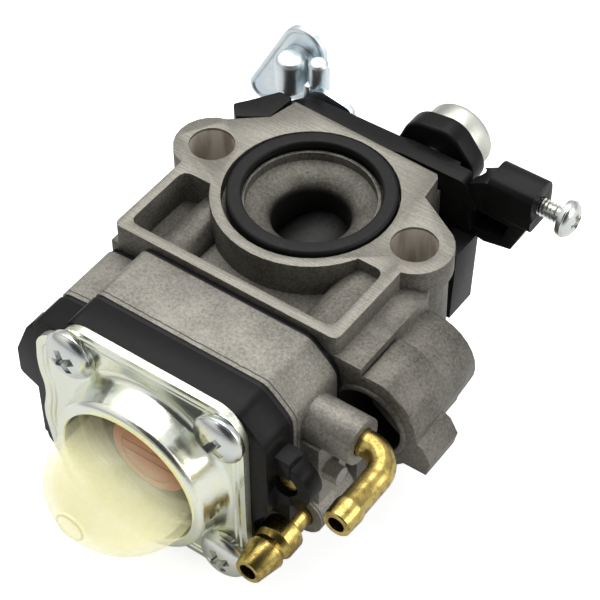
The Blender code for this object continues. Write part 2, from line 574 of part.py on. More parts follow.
def throttle_lever(material):
    """Stamped lever: hub plate, a riser, and a raised arm with a rim that carries the swivel."""
    hub = rounded([(4.6, -15.8, 3.0), (3.0, -12.4, 2.0), (-4.8, -6.0, 3.0), (-5.4, -1.4, 0.8),
                   (-10.6, -0.4, 1.0), (-13.2, -2.6, 1.2), (-12.8, -7.6, 2.0), (-5.0, -18.2, 2.0),
                   (0.0, -20.0, 3.0)], 1.5, 3)
    top = rounded([(-12.0, 1.2, 0.8), (-12.6, 3.6, 2.0), (-15.4, 5.2, 2.4), (-18.4, 2.2, 2.0),
                   (-24.9, -6.6, 1.4), (-25.2, -9.8, 1.4), (-21.5, -11.6, 2.0), (-12.0, -6.6, 0.8)],
                  1.5, 3)
    lever = prism("throttle_lever", hub, "Y", LEVER_Y0, LEVER_Y1, material)
    riser = block("lever_riser", (-13.1, LEVER_Y0, -6.2), (-12.1, ARM_Y1, -0.8))
    post = rod("lever_post", 1.15, "Z", (-11.8, 18.1, 0), -3.0, 2.4, 16)
    arm = prism("lever_arm", top, "Y", ARM_Y0, ARM_Y1)
    rim = prism("lever_rim", top, "Y", ARM_Y0, ARM_Y1 + 0.8)
    inset = [(-17.6 + (x + 17.6) * 0.84, -2.2 + (z + 2.2) * 0.88) for x, z in top]
    weld(lever, arm, cut(rim, prism("lever_inset", inset, "Y", ARM_Y0 - 1, ARM_Y1 + 3)), riser,
         post)
    cut(lever, rod("lever_bore", SHAFT_R + 0.08, "Y", (0, 0, BARREL_Z), 15, 20, 20),
        rod("swivel_bore", 1.65, "Y", (SWIVEL_X, 0, SWIVEL_Z), 15, 24, 16))
    set_origin(lever, 0, LEVER_Y0, BARREL_Z)
    return lever


def lever_nut(material):
    """Thin round nut that clamps the lever to the shaft."""
    return lathe("lever_nut", [(SHAFT_R + 0.08, LEVER_Y1 + 0.05), (4.0, LEVER_Y1 + 0.05), (4.0, 19.0),
                               (SHAFT_R + 0.08, 19.0)], "Y", (0, 0, BARREL_Z), 24, material)


def cable_swivel(material):
    """Swivel: a trunnion through the arm and a slotted cross barrel for the cable's end."""
    x, z = SWIVEL_X, SWIVEL_Z
    swivel = rod("cable_swivel", 1.55, "Y", (x, 0, z), 17.6, 22.8, 16, material)
    head = rod("swivel_head", 2.15, "Z", (x, 18.3, 0), z - 2.9, z + 2.9, 20)
    weld(swivel, head)
    cut(swivel, block("swivel_slot", (x - 0.5, 15.0, z + 0.8), (x + 4, 19.4, z + 5.0)))
    set_origin(swivel, x, ARM_Y0, z)
    return swivel


def swivel_clip(material):
    """Retaining ring on the trunnion behind the arm."""
    return lathe("swivel_clip", [(1.6, 21.6), (2.5, 21.6), (2.5, 22.2), (1.6, 22.2)], "Y",
                 (SWIVEL_X, 0, SWIVEL_Z), 16, material)


def idle_speed_screw(material):
    """Threaded screw along X with a cross pan head at +X."""
    length, pitch = (15.2, 27.2), 0.9
    profile = [(0, length[0]), (0.85, length[0])]
    count = int((length[1] - 0.4 - 18.0) / pitch)
    profile += [(0.95, 15.6), (0.95, 17.6)]
    for i in range(count):
        x = 18.0 + i * pitch
        profile += [(0.97, x), (1.22, x + pitch * 0.5)]
    profile += [(1.0, length[1] - 0.3), (2.5, length[1] - 0.25), (2.55, length[1] + 0.3),
                (2.2, length[1] + 1.2), (1.4, length[1] + 1.75), (0, length[1] + 1.9)]
    screw = lathe("idle_speed_screw", profile, "X", (0, IDLE_Y, IDLE_Z), 14, material)
    for tag, wide, tall in (("a", 0.33, 1.5), ("b", 1.5, 0.33)):
        cut(screw, block("idle_slot_" + tag, (length[1] + 0.9, IDLE_Y - wide, IDLE_Z - tall),
                         (length[1] + 3, IDLE_Y + wide, IDLE_Z + tall)))
    set_origin(screw, 26.0, IDLE_Y, IDLE_Z)
    return screw


def metering_parts(steel, brass):
    """Lever, pin, spring, inlet needle and screen in the metering side."""
    x, z = STACK_X, STACK_Z
    lever = prism("metering_lever", rounded([(x - 6.2, z - 1.3), (x + 4.6, z - 1.3), (x + 4.6, z + 1.3),
                                             (x - 6.2, z + 1.3)], 0.8, 3), "Y", -26.6, -25.9, steel)
    weld(lever, rod("lever_hub", 1.0, "Z", (x - 2.6, -26.25, z), -1.2, 1.2, 16))
    cut(lever, rod("lever_pin_cut", 0.56, "Z", (x - 2.6, -26.25, z), -3, 3, 12))
    set_origin(lever, x - 2.6, -26.25, z)
    rod("lever_pin", 0.5, "Z", (x - 2.6, -26.25, z), -4.2, 4.2, 12, steel)
    spring = [(x + 2.4 + 0.9 * cos(2 * pi * 3 * i / 24), -23.95 - 1.55 * i / 24,
               z + 0.9 * sin(2 * pi * 3 * i / 24)) for i in range(25)]
    sweep("lever_spring", spring, 0.18, 6, steel)
    needle = lathe("inlet_needle", [(0, -20.6), (0.9, -22.0), (0.9, -25.7), (0, -25.7)], "Y",
                   (x - 5.2, 0, z), 12, brass)
    set_origin(needle, x - 5.2, -22.0, z)
    rod("inlet_screen", 3.1, "Y", (x + 11.0, 0, z), -21.1, -20.6, 20, steel)
    return lever


def build():
    """Build every piece of the carburetor."""
    clear_scene()
    cast = finish("die_cast_aluminium", (0.42, 0.40, 0.37), 0.5, 0.9)
    grey = finish("die_cast_block", (0.36, 0.35, 0.33), 0.55, 0.85)
    rubber = finish("black_rubber", (0.02, 0.02, 0.022), 0.6, 0.0)
    film = finish("diaphragm_film", (0.03, 0.03, 0.03), 0.5, 0.0)
    plastic = finish("black_plastic", (0.025, 0.025, 0.027), 0.45, 0.0)
    zinc = finish("zinc_plate", (0.75, 0.77, 0.70), 0.25, 1.0)
    steel = finish("plated_steel", (0.66, 0.68, 0.68), 0.28, 1.0)
    brass = finish("brass", (0.66, 0.52, 0.20), 0.3, 1.0)
    yellow = finish("bulb_plastic", (0.92, 0.88, 0.55), 0.25, 0.0)
    red = finish("valve_rubber", (0.55, 0.25, 0.17), 0.5, 0.0)

    carburetor_body(cast)
    flange_o_ring(rubber)
    fuel_nozzle(brass)
    seal("pump_gasket", FRONT_Y - 0.06, rubber, 0)
    seal("pump_diaphragm", FRONT_Y - 0.44, film, 0)
    metering_block(grey)
    seal("metering_gasket", BLOCK_FRONT - 0.02, rubber, 8.0)
    seal("metering_diaphragm", BLOCK_FRONT - 0.33, film, 0)
    primer_base(plastic)
    primer_check_valve(red)
    rod("brass_plug", 1.35, "Y", (18.8, 0, -12.0), -31.0, -29.65, 16, brass)
    retainer_plate(zinc)
    for tag, (x, z) in zip("abcd", screw_places()):
        pan_screw("plate_screw_" + tag, x, z, PLATE_FRONT - 0.05, FRONT_Y + 4.8, 3.5, 1.4, steel)
    straight_nipple(brass)
    elbow_nipple(brass)
    throttle_barrel(cast)
    barrel_needle(brass)
    barrel_cover(steel)
    throttle_spring(steel)
    cable_bracket(plastic)
    cable_adjuster(steel)
    adjuster_collar(plastic)
    throttle_lever(zinc)
    lever_nut(steel)
    cable_swivel(steel)
    swivel_clip(steel)
    for tag, x, z in BRACKET_SCREWS:
        pan_screw("bracket_screw_" + tag, x, z, BRACKET_Y1 + 0.05, 7.0, 2.6, 1.1, steel)
    idle_speed_screw(steel)
    metering_parts(steel, brass)
    primer_bulb(yellow)


build()
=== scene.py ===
"""Looks of a rotary-barrel diaphragm carburetor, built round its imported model.

Frame: +Z leaves the machined flange along the throat, +Y is the throttle barrel's axis and points to
the lever, -Y points to the primer bulb.  Sizes in the classes are millimetres.
"""

import json
import logging
from dataclasses import dataclass, field
from enum import Enum
from math import cos, pi, radians, sin
from typing import Iterable, Sequence

import bmesh
import bpy
from mathutils import Matrix, Vector


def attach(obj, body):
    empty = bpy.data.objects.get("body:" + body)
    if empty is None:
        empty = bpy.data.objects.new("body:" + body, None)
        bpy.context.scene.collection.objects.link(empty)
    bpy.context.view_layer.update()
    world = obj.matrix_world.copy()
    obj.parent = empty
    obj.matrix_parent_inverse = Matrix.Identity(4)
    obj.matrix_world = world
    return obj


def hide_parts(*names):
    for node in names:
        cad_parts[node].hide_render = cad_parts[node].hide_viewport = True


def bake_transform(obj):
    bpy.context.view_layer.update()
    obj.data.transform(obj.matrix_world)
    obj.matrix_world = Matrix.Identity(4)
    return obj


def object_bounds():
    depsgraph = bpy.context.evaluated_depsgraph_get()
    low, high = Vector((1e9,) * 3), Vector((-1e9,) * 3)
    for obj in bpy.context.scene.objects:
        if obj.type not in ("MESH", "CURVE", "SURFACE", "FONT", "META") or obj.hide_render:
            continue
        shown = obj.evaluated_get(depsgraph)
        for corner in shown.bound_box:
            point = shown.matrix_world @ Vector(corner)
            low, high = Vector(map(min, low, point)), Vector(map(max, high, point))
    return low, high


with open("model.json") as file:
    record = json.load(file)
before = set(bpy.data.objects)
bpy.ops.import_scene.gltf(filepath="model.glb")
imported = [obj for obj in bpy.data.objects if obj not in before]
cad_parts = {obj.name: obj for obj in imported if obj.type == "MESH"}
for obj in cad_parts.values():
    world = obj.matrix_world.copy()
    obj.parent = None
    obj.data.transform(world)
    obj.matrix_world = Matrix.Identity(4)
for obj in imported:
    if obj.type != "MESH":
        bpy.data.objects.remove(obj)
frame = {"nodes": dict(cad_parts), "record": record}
CAD_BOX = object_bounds()
MM = 0.001
SHARP = radians(32)
log = logging.getLogger("carburetor")

# Points on three axes along Y, the reach of the plate's screws from the bulb's axis in X and Z, and
# the painted shade of bores that no light enters.
SHAFT = (0.0, 0.0, -15.8)
BULB_AXIS = (0.9, 0.0, -15.8)
SIDE_TUBE = (21.4, 0.0, -11.2)
PLATE_SCREWS = (11.1, 11.2)
PAINTED_SHADE = (0.010, 0.010, 0.010)

Profile = Sequence[tuple[float, float]]


class Axis(Enum):
    """Direction that a turned piece is spun about."""

    X = (1.0, 0.0, 0.0)
    Y = (0.0, 1.0, 0.0)
    Z = (0.0, 0.0, 1.0)

    def point(self, radius: float, along: float) -> Vector:
        """Return the profile point at a radius and a height along the axis, in millimetres."""
        if self is Axis.X:
            return Vector((along, radius, 0.0))
        if self is Axis.Y:
            return Vector((radius, along, 0.0))
        return Vector((radius, 0.0, along))


# ---------------------------------------------------------------- shader layer


class Value:
    """A shader socket whose arithmetic adds Math nodes."""

    def __init__(self, shading: "Shading", socket: bpy.types.NodeSocket) -> None:
        """Wrap a socket of a node tree."""
        self.shading = shading
        self.socket = socket

    def _math(self, operation: str, first: object, second: object) -> "Value":
        """Return the result of a Math node on two numbers or sockets."""
        return self.shading.add("ShaderNodeMath", {"operation": operation}, {0: first, 1: second})

    def __add__(self, other: object) -> "Value":
        """Return self + other."""
        return self._math("ADD", self, other)

    def __radd__(self, other: object) -> "Value":
        """Return other + self."""
        return self._math("ADD", other, self)

    def __sub__(self, other: object) -> "Value":
        """Return self - other."""
        return self._math("SUBTRACT", self, other)

    def __rsub__(self, other: object) -> "Value":
        """Return other - self."""
        return self._math("SUBTRACT", other, self)

    def __mul__(self, other: object) -> "Value":
        """Return self * other."""
        return self._math("MULTIPLY", self, other)

    def __rmul__(self, other: object) -> "Value":
        """Return other * self."""
        return self._math("MULTIPLY", other, self)


class Shading:
    """A node tree with the one way of adding a node and the recipes that every tree shares."""

    def __init__(self, tree: bpy.types.NodeTree) -> None:
        """Wrap the tree."""
        self.tree = tree

    def plug(self, socket: bpy.types.NodeSocket, value: object) -> None:
        """Link a Value to a socket, or set the socket's own value."""
        if isinstance(value, Value):
            self.tree.links.new(value.socket, socket)
        else:
            socket.default_value = value

    def add(self, kind: str, settings: dict | None = None, inputs: dict | None = None,
            output: int | str = 0) -> Value:
        """Add a node.

        Args:
            kind: the node's type.
            settings: its own settings, set first.
            inputs: values or links of its sockets, by name or number.
            output: the socket to return.

        Returns:
            The node's output.
        """
        node = self.tree.nodes.new(kind)
        for key, value in (settings or {}).items():
            setattr(node, key, value)
        for key, value in (inputs or {}).items():
            self.plug(node.inputs[key], value)
        return Value(self, node.outputs[output])

    def absolute(self, value: Value) -> Value:
        """Return a value without its sign."""
        return self.add("ShaderNodeMath", {"operation": "ABSOLUTE"}, {0: value})

    def reach(self, where: Value) -> Value:
        """Return the distance of a position from the origin."""
        return self.add("ShaderNodeVectorMath", {"operation": "LENGTH"}, {0: where}, "Value")

    def axis(self, name: str, where: Value) -> Value:
        """Return one coordinate, X, Y or Z, of a position."""
        return self.add("ShaderNodeSeparateXYZ", None, {0: where}, name)

    def ramp(self, value: object, low: float, high: float, start: float = 0.0,
             end: float = 1.0) -> Value:
        """Return the value mapped smoothly from low..high to start..end."""
        return self.add("ShaderNodeMapRange", {"interpolation_type": "SMOOTHSTEP"},
                        {0: value, 1: low, 2: high, 3: start, 4: end})

    def blend(self, factor: Value, first: object, second: object) -> Value:
        """Return a number between first and second."""
        return self.add("ShaderNodeMix", None, {"Factor": factor, "A": first, "B": second})


class Surface(Shading):
    """One material and the recipes that the finishes share."""

    def __init__(self, name: str, colour: Sequence[float], roughness: float, metallic: float) -> None:
        """Start a material from a Principled shader.

        Args:
            name: the material's name.
            colour: the plain base colour, three numbers.
            roughness: the shader's roughness.
            metallic: the shader's metallic value.
        """
        self.material = bpy.data.materials.new(name)
        self.material.use_nodes = True
        super().__init__(self.material.node_tree)
        self.shader = self.tree.nodes["Principled BSDF"]
        self.put("Base Color", (*colour, 1.0))
        self.put("Roughness", roughness)
        self.put("Metallic", metallic)

    def put(self, socket: str, value: object) -> None:
        """Set or link one socket of the Principled shader."""
        self.plug(self.shader.inputs[socket], value)

    def place(self, scale: Sequence[float] = (1, 1, 1), turn: Sequence[float] = (0, 0, 0),
              shift: Sequence[float] = (0, 0, 0)) -> Value:
        """Return the position on the piece in millimetres.

        Args:
            scale: how far each axis is stretched; 0 flattens it.
            turn: the rotation about each axis, in radians.
            shift: what is added last, in millimetres.

        Returns:
            The position.
        """
        coordinates = self.add("ShaderNodeTexCoord", output="Object")
        size = tuple(s / MM for s in scale)
        return self.add("ShaderNodeMapping", None,
                        {"Vector": coordinates, "Rotation": turn, "Scale": size, "Location": shift})

    def beside(self, x: float, z: float) -> Value:
        """Return the distance in millimetres from an axis along Y through x and z."""
        return self.reach(self.place((1, 0, 1), shift=(-x, 0, -z)))

    def noise(self, where: Value, scale: float, detail: float = 3.0, rough: float = 0.5) -> Value:
        """Return noise from 0 to 1 with features of about 1 / scale millimetres."""
        return self.add("ShaderNodeTexNoise", None,
                        {"Vector": where, "Scale": scale, "Detail": detail, "Roughness": rough})

    def mix(self, factor: object, first: object, second: object) -> Value:
        """Return a colour between first and second."""
        first = first if isinstance(first, Value) else (*first, 1.0)
        second = second if isinstance(second, Value) else (*second, 1.0)
        return self.add("ShaderNodeMix", {"data_type": "RGBA"},
                        {"Factor": factor, 6: first, 7: second}, 2)

    def bump(self, height: Value, strength: float, depth: float) -> None:
        """Feed a Bump node of that depth in millimetres to the shader's normal."""
        self.put("Normal", self.add("ShaderNodeBump", None,
                                    {"Strength": strength, "Distance": depth * MM, "Height": height},
                                    "Normal"))


@dataclass(frozen=True)
class CastFinish:
    """Die-cast metal with a fine sand-like skin and, at choice, a milled top and painted shade in its
    throat and side tube.
    """

    name: str
    dark: tuple[float, float, float]
    light: tuple[float, float, float]
    metallic: float = 0.55
    milled: bool = False
    seam_y: float | None = None
    milled_z: float = -0.14
    milling_angle: float = radians(-14)
    throat_radius: float = 6.2
    throat_z: float = -3.4
    tube_radius: float = 4.9
    tube_end: float = -6.8
    hole: tuple[float, float] = (15.5, 3.2)
    hole_tones: tuple[tuple[float, float, float], ...] = ((0.42, 0.37, 0.31), (0.76, 0.73, 0.67))

    def drilled(self, s: Surface, where: Value) -> Value:
        """Mask the walls of the two mounting holes.

        Args:
            s: the surface.
            where: the position on the piece.

        Returns:
            1 on the walls and 0 elsewhere.
        """
        x, radius = self.hole
        side = s.absolute(s.axis("X", where))
        flat = s.add("ShaderNodeCombineXYZ", None, {"X": side - x, "Y": s.axis("Y", where)})
        wall = s.ramp(s.reach(flat), radius - 0.1, radius, 1.0, 0.0)
        return wall * s.ramp(s.axis("Z", where), -0.5, -0.25, 1.0, 0.0)

    def throat(self, s: Surface, where: Value) -> Value:
        """Mask the throat below its bell, where shade is painted.

        Args:
            s: the surface.
            where: the position on the piece.

        Returns:
            1 deep in the throat and 0 elsewhere.
        """
        depth = s.ramp(s.axis("Z", where), self.throat_z - 1.6, self.throat_z, 1.0, 0.0)
        near = s.reach(s.place((1, 1, 0)))
        return depth * s.ramp(near, self.throat_radius - 0.3, self.throat_radius, 1.0, 0.0)

    def side_tube(self, s: Surface, where: Value) -> Value:
        """Mask the inside of the side tube, where shade is painted.

        Args:
            s: the surface.
            where: the position on the piece.

        Returns:
            1 on the tube's wall and floor and 0 elsewhere.
        """
        x, _, z = SIDE_TUBE
        tube = s.ramp(s.beside(x, z), self.tube_radius - 0.15, self.tube_radius, 1.0, 0.0)
        return tube * s.ramp(s.axis("Y", where), self.tube_end, self.tube_end + 0.5, 1.0, 0.0)

    def build(self) -> bpy.types.Material:
        """Return the finished material."""
        s = Surface(self.name, self.light, 0.5, self.metallic)
        where = s.place()
        skin = s.noise(where, 2.6, 6.0, 0.62)
        cloud = s.noise(where, 0.22, 3.0)
        grain = s.noise(where, 7.0, 3.0, 0.7)
        shade = s.ramp(skin * 0.45 + cloud * 0.25 + grain * 0.3, 0.36, 0.64)
        colour = s.mix(shade, self.dark, self.light)
        scratch = s.noise(s.place((0.5, 6.0, 3.0), (0.3, 0.2, 0.5)), 0.8, 4.0, 0.6)
        colour = s.mix(s.ramp(scratch, 0.63, 0.70, 0.0, 0.5), colour, tuple(c * 1.3 for c in self.light))
        rough = 0.42 + skin * 0.18
        height = skin * 0.75 + grain * 0.45
        if self.milled:
            turn = (0, 0, self.milling_angle)
            strokes = s.noise(s.place((0.22, 5.2, 0.22), turn), 1.0, 3.0, 0.7)
            fleck = s.noise(s.place((1.6, 4.5, 1.0), turn), 1.5, 3.0, 0.7)
            top = s.ramp(s.axis("Z", where), self.milled_z, self.milled_z + 0.08)
            cut = strokes * 0.5 + fleck * 0.5
            bright = s.mix(s.ramp(cut, 0.36, 0.64), tuple(c * 0.70 for c in self.light),
                           tuple(c * 1.30 for c in self.light))
            colour = s.mix(top, colour, bright)
            # Painted shade: the deep throat and the inside of the side tube are darkened nearly to black,
            # as if no light entered them.
            colour = s.mix(self.throat(s, where) * 0.93, colour, PAINTED_SHADE)
            colour = s.mix(self.side_tube(s, where) * 0.95, colour, PAINTED_SHADE)
            drilled = self.drilled(s, where)
            streak = s.ramp(s.noise(s.place((0.5, 0.5, 0.12)), 1.2, 2.0, 0.5), 0.3, 0.7)
            colour = s.mix(drilled, colour, s.mix(streak, *self.hole_tones))
            rough = rough - top * 0.1 - drilled * 0.18
            height = height + top * (cut - height)
        if self.seam_y is not None:
            wander = s.axis("Y", where) - self.seam_y + s.noise(s.place((0.6, 0, 0)), 1.0, 4.0, 0.7) * 0.5
            line = s.ramp(s.absolute(wander - 0.25), 0.03, 0.10, 1.0, 0.0)
            colour = s.mix(line * 0.75, colour, (0.05, 0.047, 0.042))
            height = height - line * 1.5
        s.put("Base Color", colour)
        s.put("Roughness", rough)
        s.bump(height, 0.75, 0.07)
        return s.material


@dataclass(frozen=True)
class PlasticFinish:
    """Dark moulding or rubber with a faint texture."""

    name: str
    colour: tuple[float, float, float]
    roughness: float
    grain: float = 3.5
    lift: float = 1.9
    sheen: float = 0.3

    def build(self) -> bpy.types.Material:
        """Return the finished material."""
        s = Surface(self.name, self.colour, self.roughness, 0.0)
        s.put("Specular IOR Level", self.sheen)
        where = s.place()
        grain = s.noise(where, self.grain, 4.0, 0.6)
        dust = s.ramp(s.noise(where, 1.1, 5.0, 0.7), 0.5, 0.78)
        s.put("Base Color", s.mix(dust, self.colour, tuple(c * self.lift for c in self.colour)))
        s.put("Roughness", self.roughness + grain * 0.14 - 0.07)
        s.bump(grain, 0.35, 0.04)
        return s.material


@dataclass(frozen=True)
class PlatedFinish:
    """Bright plated sheet or turned steel with cloudy tint, hairlines and dull spots."""

    name: str
    colour: tuple[float, float, float]
    tint: tuple[float, float, float]
    roughness: float = 0.2
    hair: tuple[float, float, float] = (0.35, 4.0, 4.0)
    stain: float = 0.35
    edge_y: float | None = None

    def build(self) -> bpy.types.Material:
        """Return the finished material."""
        s = Surface(self.name, self.colour, self.roughness, 1.0)
        where = s.place()
        cloud = s.ramp(s.noise(where, 0.28, 3.0), 0.35, 0.66)
        lines = s.noise(s.place(self.hair), 1.4, 3.0, 0.6)
        pits = s.noise(where, 4.0, 3.0, 0.6)
        dents = s.noise(where, 0.7, 3.0, 0.6)
        spots = s.ramp(s.noise(where, 1.6, 5.0, 0.7), 0.58, 0.74, 0.0, self.stain)
        plain = s.mix(spots, s.mix(cloud, self.colour, self.tint), tuple(c * 0.4 for c in self.colour))
        rough = self.roughness + lines * 0.14 + pits * 0.05 - 0.08
        if self.edge_y is not None:
            sheared = s.ramp(s.axis("Y", where), self.edge_y - 0.1, self.edge_y)
            streaks = s.ramp(lines, 0.35, 0.65, 0.25, 0.6)
            plain = s.mix(sheared * streaks, plain, (0.30, 0.30, 0.24))
            rough = rough + sheared * 0.25
        s.put("Base Color", plain)
        s.put("Roughness", rough)
        s.bump(lines * 0.3 + pits * 0.2 + dents * 0.9, 0.35, 0.08)
        return s.material


@dataclass(frozen=True)
class BrassFinish:
    """Bare brass with turning rings across its axis and slight tarnish."""

    name: str
    colour: tuple[float, float, float] = (0.55, 0.42, 0.13)
    tarnish: tuple[float, float, float] = (0.24, 0.17, 0.045)
    ring: str = "Y"

    def build(self) -> bpy.types.Material:
        """Return the finished material."""
        s = Surface(self.name, self.colour, 0.26, 1.0)
        where = s.place()
        cloud = s.ramp(s.noise(where, 0.9, 4.0, 0.6), 0.38, 0.7)
        along = s.axis(self.ring, where)
        turned = s.add("ShaderNodeMath", {"operation": "SINE"}, {0: along * 24.0})
        s.put("Base Color", s.mix(cloud, self.colour, self.tarnish))
        s.put("Roughness", 0.2 + cloud * 0.14)
        s.bump(turned * 0.5 + s.noise(where, 5.0, 3.0) * 0.8, 0.22, 0.02)
        return s.material


@dataclass(frozen=True)
class BulbFinish:
    """Pale yellow milky moulding that grows denser towards the bulb's tip, with a painted glow in place of
    light scattered inside it.
    """

    name: str
    colour: tuple[float, float, float] = (0.93, 0.90, 0.56)
    glow: tuple[float, float, float] = (1.0, 0.97, 0.62)
    nub: tuple[float, float, float] = (0.9, -14.2, 1.95)
    nub_back: float = -48.2
    clear_y: float = -42.0
    dense_y: float = -51.5
    density: tuple[float, float] = (0.05, 0.50)

    def build(self) -> bpy.types.Material:
        """Return the finished material."""
        s = Surface(self.name, self.colour, 0.16, 0.0)
        where = s.place()
        cloud = s.noise(where, 0.3, 3.0)
        wisps = s.noise(where, 0.9, 4.0, 0.65)
        along = s.axis("Y", where)
        density = s.ramp(along + s.axis("Z", where) * 0.35, self.clear_y, self.dense_y, *self.density)
        x, z, radius = self.nub
        out = s.beside(x, z)
        ring = s.ramp(s.absolute(out - radius), 0.06, 0.24, 1.0, 0.0)
        ring = ring * s.ramp(along, self.nub_back - 0.4, self.nub_back, 1.0, 0.0)
        plain = s.mix(s.ramp(cloud, 0.35, 0.7), self.colour, (0.95, 0.93, 0.66))
        tinted = s.mix(s.ramp(out, radius - 0.1, radius + 0.2, 1.0, 0.0) * 0.5, plain, (0.80, 0.76, 0.30))
        s.put("Base Color", s.mix(ring * 0.9, tinted, (0.46, 0.43, 0.16)))
        s.put("Alpha", density + wisps * 0.10 - 0.03 + ring * 0.25)
        # Painted glow: a pale yellow emission lifts the whole bulb, in place of light scattered through the
        # milky plastic.
        s.put("Emission Color", (*self.glow, 1.0))
        s.put("Emission Strength", 0.31)
        s.put("Roughness", 0.12 + cloud * 0.1)
        s.bump(cloud, 0.12, 0.1)
        return s.material


class Finishes:
    """Every material of the carburetor, keyed by the record's material slot."""

    def __init__(self) -> None:
        """Build the materials."""
        self.by_slot = {
            "die_cast_aluminium": CastFinish("die_cast_aluminium", (0.078, 0.073, 0.061),
                                             (0.222, 0.210, 0.178), milled=True).build(),
            "die_cast_block": CastFinish("die_cast_block", (0.16, 0.152, 0.130), (0.36, 0.342, 0.296),
                                         0.5, seam_y=-27.3).build(),
            "black_rubber": PlasticFinish("black_rubber", (0.011, 0.011, 0.011), 0.46,
                                          sheen=0.16).build(),
            "diaphragm_film": PlasticFinish("diaphragm_film", (0.01, 0.01, 0.011), 0.6).build(),
            "black_plastic": PlasticFinish("black_plastic", (0.0075, 0.0073, 0.0072), 0.36, 2.0, 1.8,
                                           0.13).build(),
            "zinc_plate": PlatedFinish("zinc_plate", (0.86, 0.90, 0.82), (0.90, 0.90, 0.72), 0.20,
                                       edge_y=-34.32).build(),
            "plated_steel": PlatedFinish("plated_steel", (0.70, 0.74, 0.74), (0.76, 0.77, 0.70),
                                         0.22).build(),
            "brass": BrassFinish("brass").build(),
            "bulb_plastic": BulbFinish("bulb_plastic").build(),
            "valve_rubber": PlasticFinish("valve_rubber", (0.36, 0.085, 0.045), 0.45, 2.0, 1.35).build(),
        }
        # Near-black cast metal for the throttle barrel.
        self.near_black = CastFinish("near_black_cast", (0.012, 0.012, 0.012), (0.035, 0.034, 0.032)).build()
        self.dull = PlatedFinish("dull_zinc", (0.50, 0.51, 0.46), (0.66, 0.67, 0.60), 0.36).build()
        self.blued = PlatedFinish("blued_zinc", (0.70, 0.80, 0.86), (0.84, 0.89, 0.90), 0.36).build()

    def dress(self, item: bpy.types.Object, slot: str) -> None:
        """Give an object the material of one slot as its only material."""
        item.data.materials.clear()
        item.data.materials.append(self.by_slot[slot])


FINISHES = Finishes()
SLOT_OF = {part["node"]: part["material_slot"] for part in frame["record"]["subparts"]}
BODY_OF = {node: body for body, nodes in frame["record"]["behaviour"]["bodies"].items() for node in nodes}


# ---------------------------------------------------------------- mesh layer


def finished(name: str, mesh: bmesh.types.BMesh, node: str,
             look: bpy.types.Material | None = None, rides: bool = True) -> bpy.types.Object:
    """Scale a bmesh from millimetres to metres and settle it as a piece.

    Args:
        name: the piece's name.
        mesh: the geometry, which is freed.
        node: the CAD node that the piece stands for.
        look: another material than that of the node's slot.
        rides: False leaves the piece without a body.

    Returns:
        The object.
    """
    bmesh.ops.scale(mesh, vec=(MM, MM, MM), verts=mesh.verts)
    return settled(name, mesh, node, look, rides)


def settled(name: str, mesh: bmesh.types.BMesh, node: str, look: bpy.types.Material | None = None,
            rides: bool = True) -> bpy.types.Object:
    """Turn a bmesh in metres into a piece that rides on a node's body and replaces the node.

    Args:
        name: the piece's name.
        mesh: the geometry, which is freed.
        node: the CAD node that the piece stands for; it gives the body and the finish.
        look: another material than that of the node's slot.
        rides: False leaves the piece without a body.

    Returns:
        The object.
    """
    data = bpy.data.meshes.new(name)
    mesh.to_mesh(data)
    mesh.free()
    data.shade_smooth()
    data.set_sharp_from_angle(angle=SHARP)
    item = bpy.data.objects.new(name, data)
    bpy.context.scene.collection.objects.link(item)
    data.materials.append(look or FINISHES.by_slot[SLOT_OF[node]])
    if rides:
        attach(item, BODY_OF[node])
    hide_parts(node)
    log.info("%s: %d faces, rides on %s", name, len(data.polygons), BODY_OF[node])
    return item


def bevel_sharp(mesh: bmesh.types.BMesh, width: float, segments: int = 2,
                angle: float = radians(28)) -> None:
    """Round the sharp edges of a bmesh.

    Args:
        mesh: the bmesh.
        width: the bevel's width.
        segments: the bevel's segments.
        angle: edges whose faces meet at more than this angle are sharp.
    """
    sharp = [e for e in mesh.edges if len(e.link_faces) == 2 and e.calc_face_angle(0.0) > angle]
    bmesh.ops.bevel(mesh, geom=sharp, offset=width, segments=segments, affect="EDGES", profile=0.5,
                    material=-1, clamp_overlap=True)


def softened(node: str, width: float, segments: int = 2,
             look: bpy.types.Material | None = None) -> bpy.types.Object:
    """Replace a CAD node by a copy of it whose edges are rounded.

    Args:
        node: the node to copy.
        width: the bevel's width in millimetres.
        segments: the bevel's segments.
        look: another material than that of the node's slot.

    Returns:
        The new piece.
    """
    mesh = bmesh.new()
    mesh.from_mesh(frame["nodes"][node].data)
    bmesh.ops.remove_doubles(mesh, verts=mesh.verts, dist=2e-6)
    bmesh.ops.dissolve_limit(mesh, angle_limit=radians(1.5), verts=mesh.verts, edges=mesh.edges)
    bevel_sharp(mesh, width * MM, segments)
    return settled(node + "_shell", mesh, node, look)


def turned(profile: Profile, axis: Axis, centre: Sequence[float], steps: int = 64,
           bevel: float = 0.0) -> bmesh.types.BMesh:
    """Spin a profile of (radius, along) points right round an axis.

    Args:
        profile: the profile, in order; it closes on itself unless both its ends lie on the axis.
        axis: the axis of the spin.
        centre: a point on the axis, in millimetres.
        steps: how many steps make the full turn.
        bevel: the width of a bevel on the profile's corners, or 0.

    Returns:
        The bmesh in millimetres, closed and with its normals outward.
    """
    mesh = bmesh.new()
    points = [mesh.verts.new(axis.point(r, a) + Vector(centre)) for r, a in profile]
    chain = list(zip(points, points[1:]))
    if profile[0][0] > 0 or profile[-1][0] > 0:
        chain.append((points[-1], points[0]))
    edges = [mesh.edges.new(pair) for pair in chain]
    bmesh.ops.spin(mesh, geom=points + edges, cent=centre, axis=axis.value, angle=2 * pi, steps=steps,
                   use_merge=True)
    bmesh.ops.remove_doubles(mesh, verts=mesh.verts, dist=1e-4)
    bmesh.ops.recalc_face_normals(mesh, faces=mesh.faces)
    if bevel:
        bevel_sharp(mesh, bevel)
    return mesh


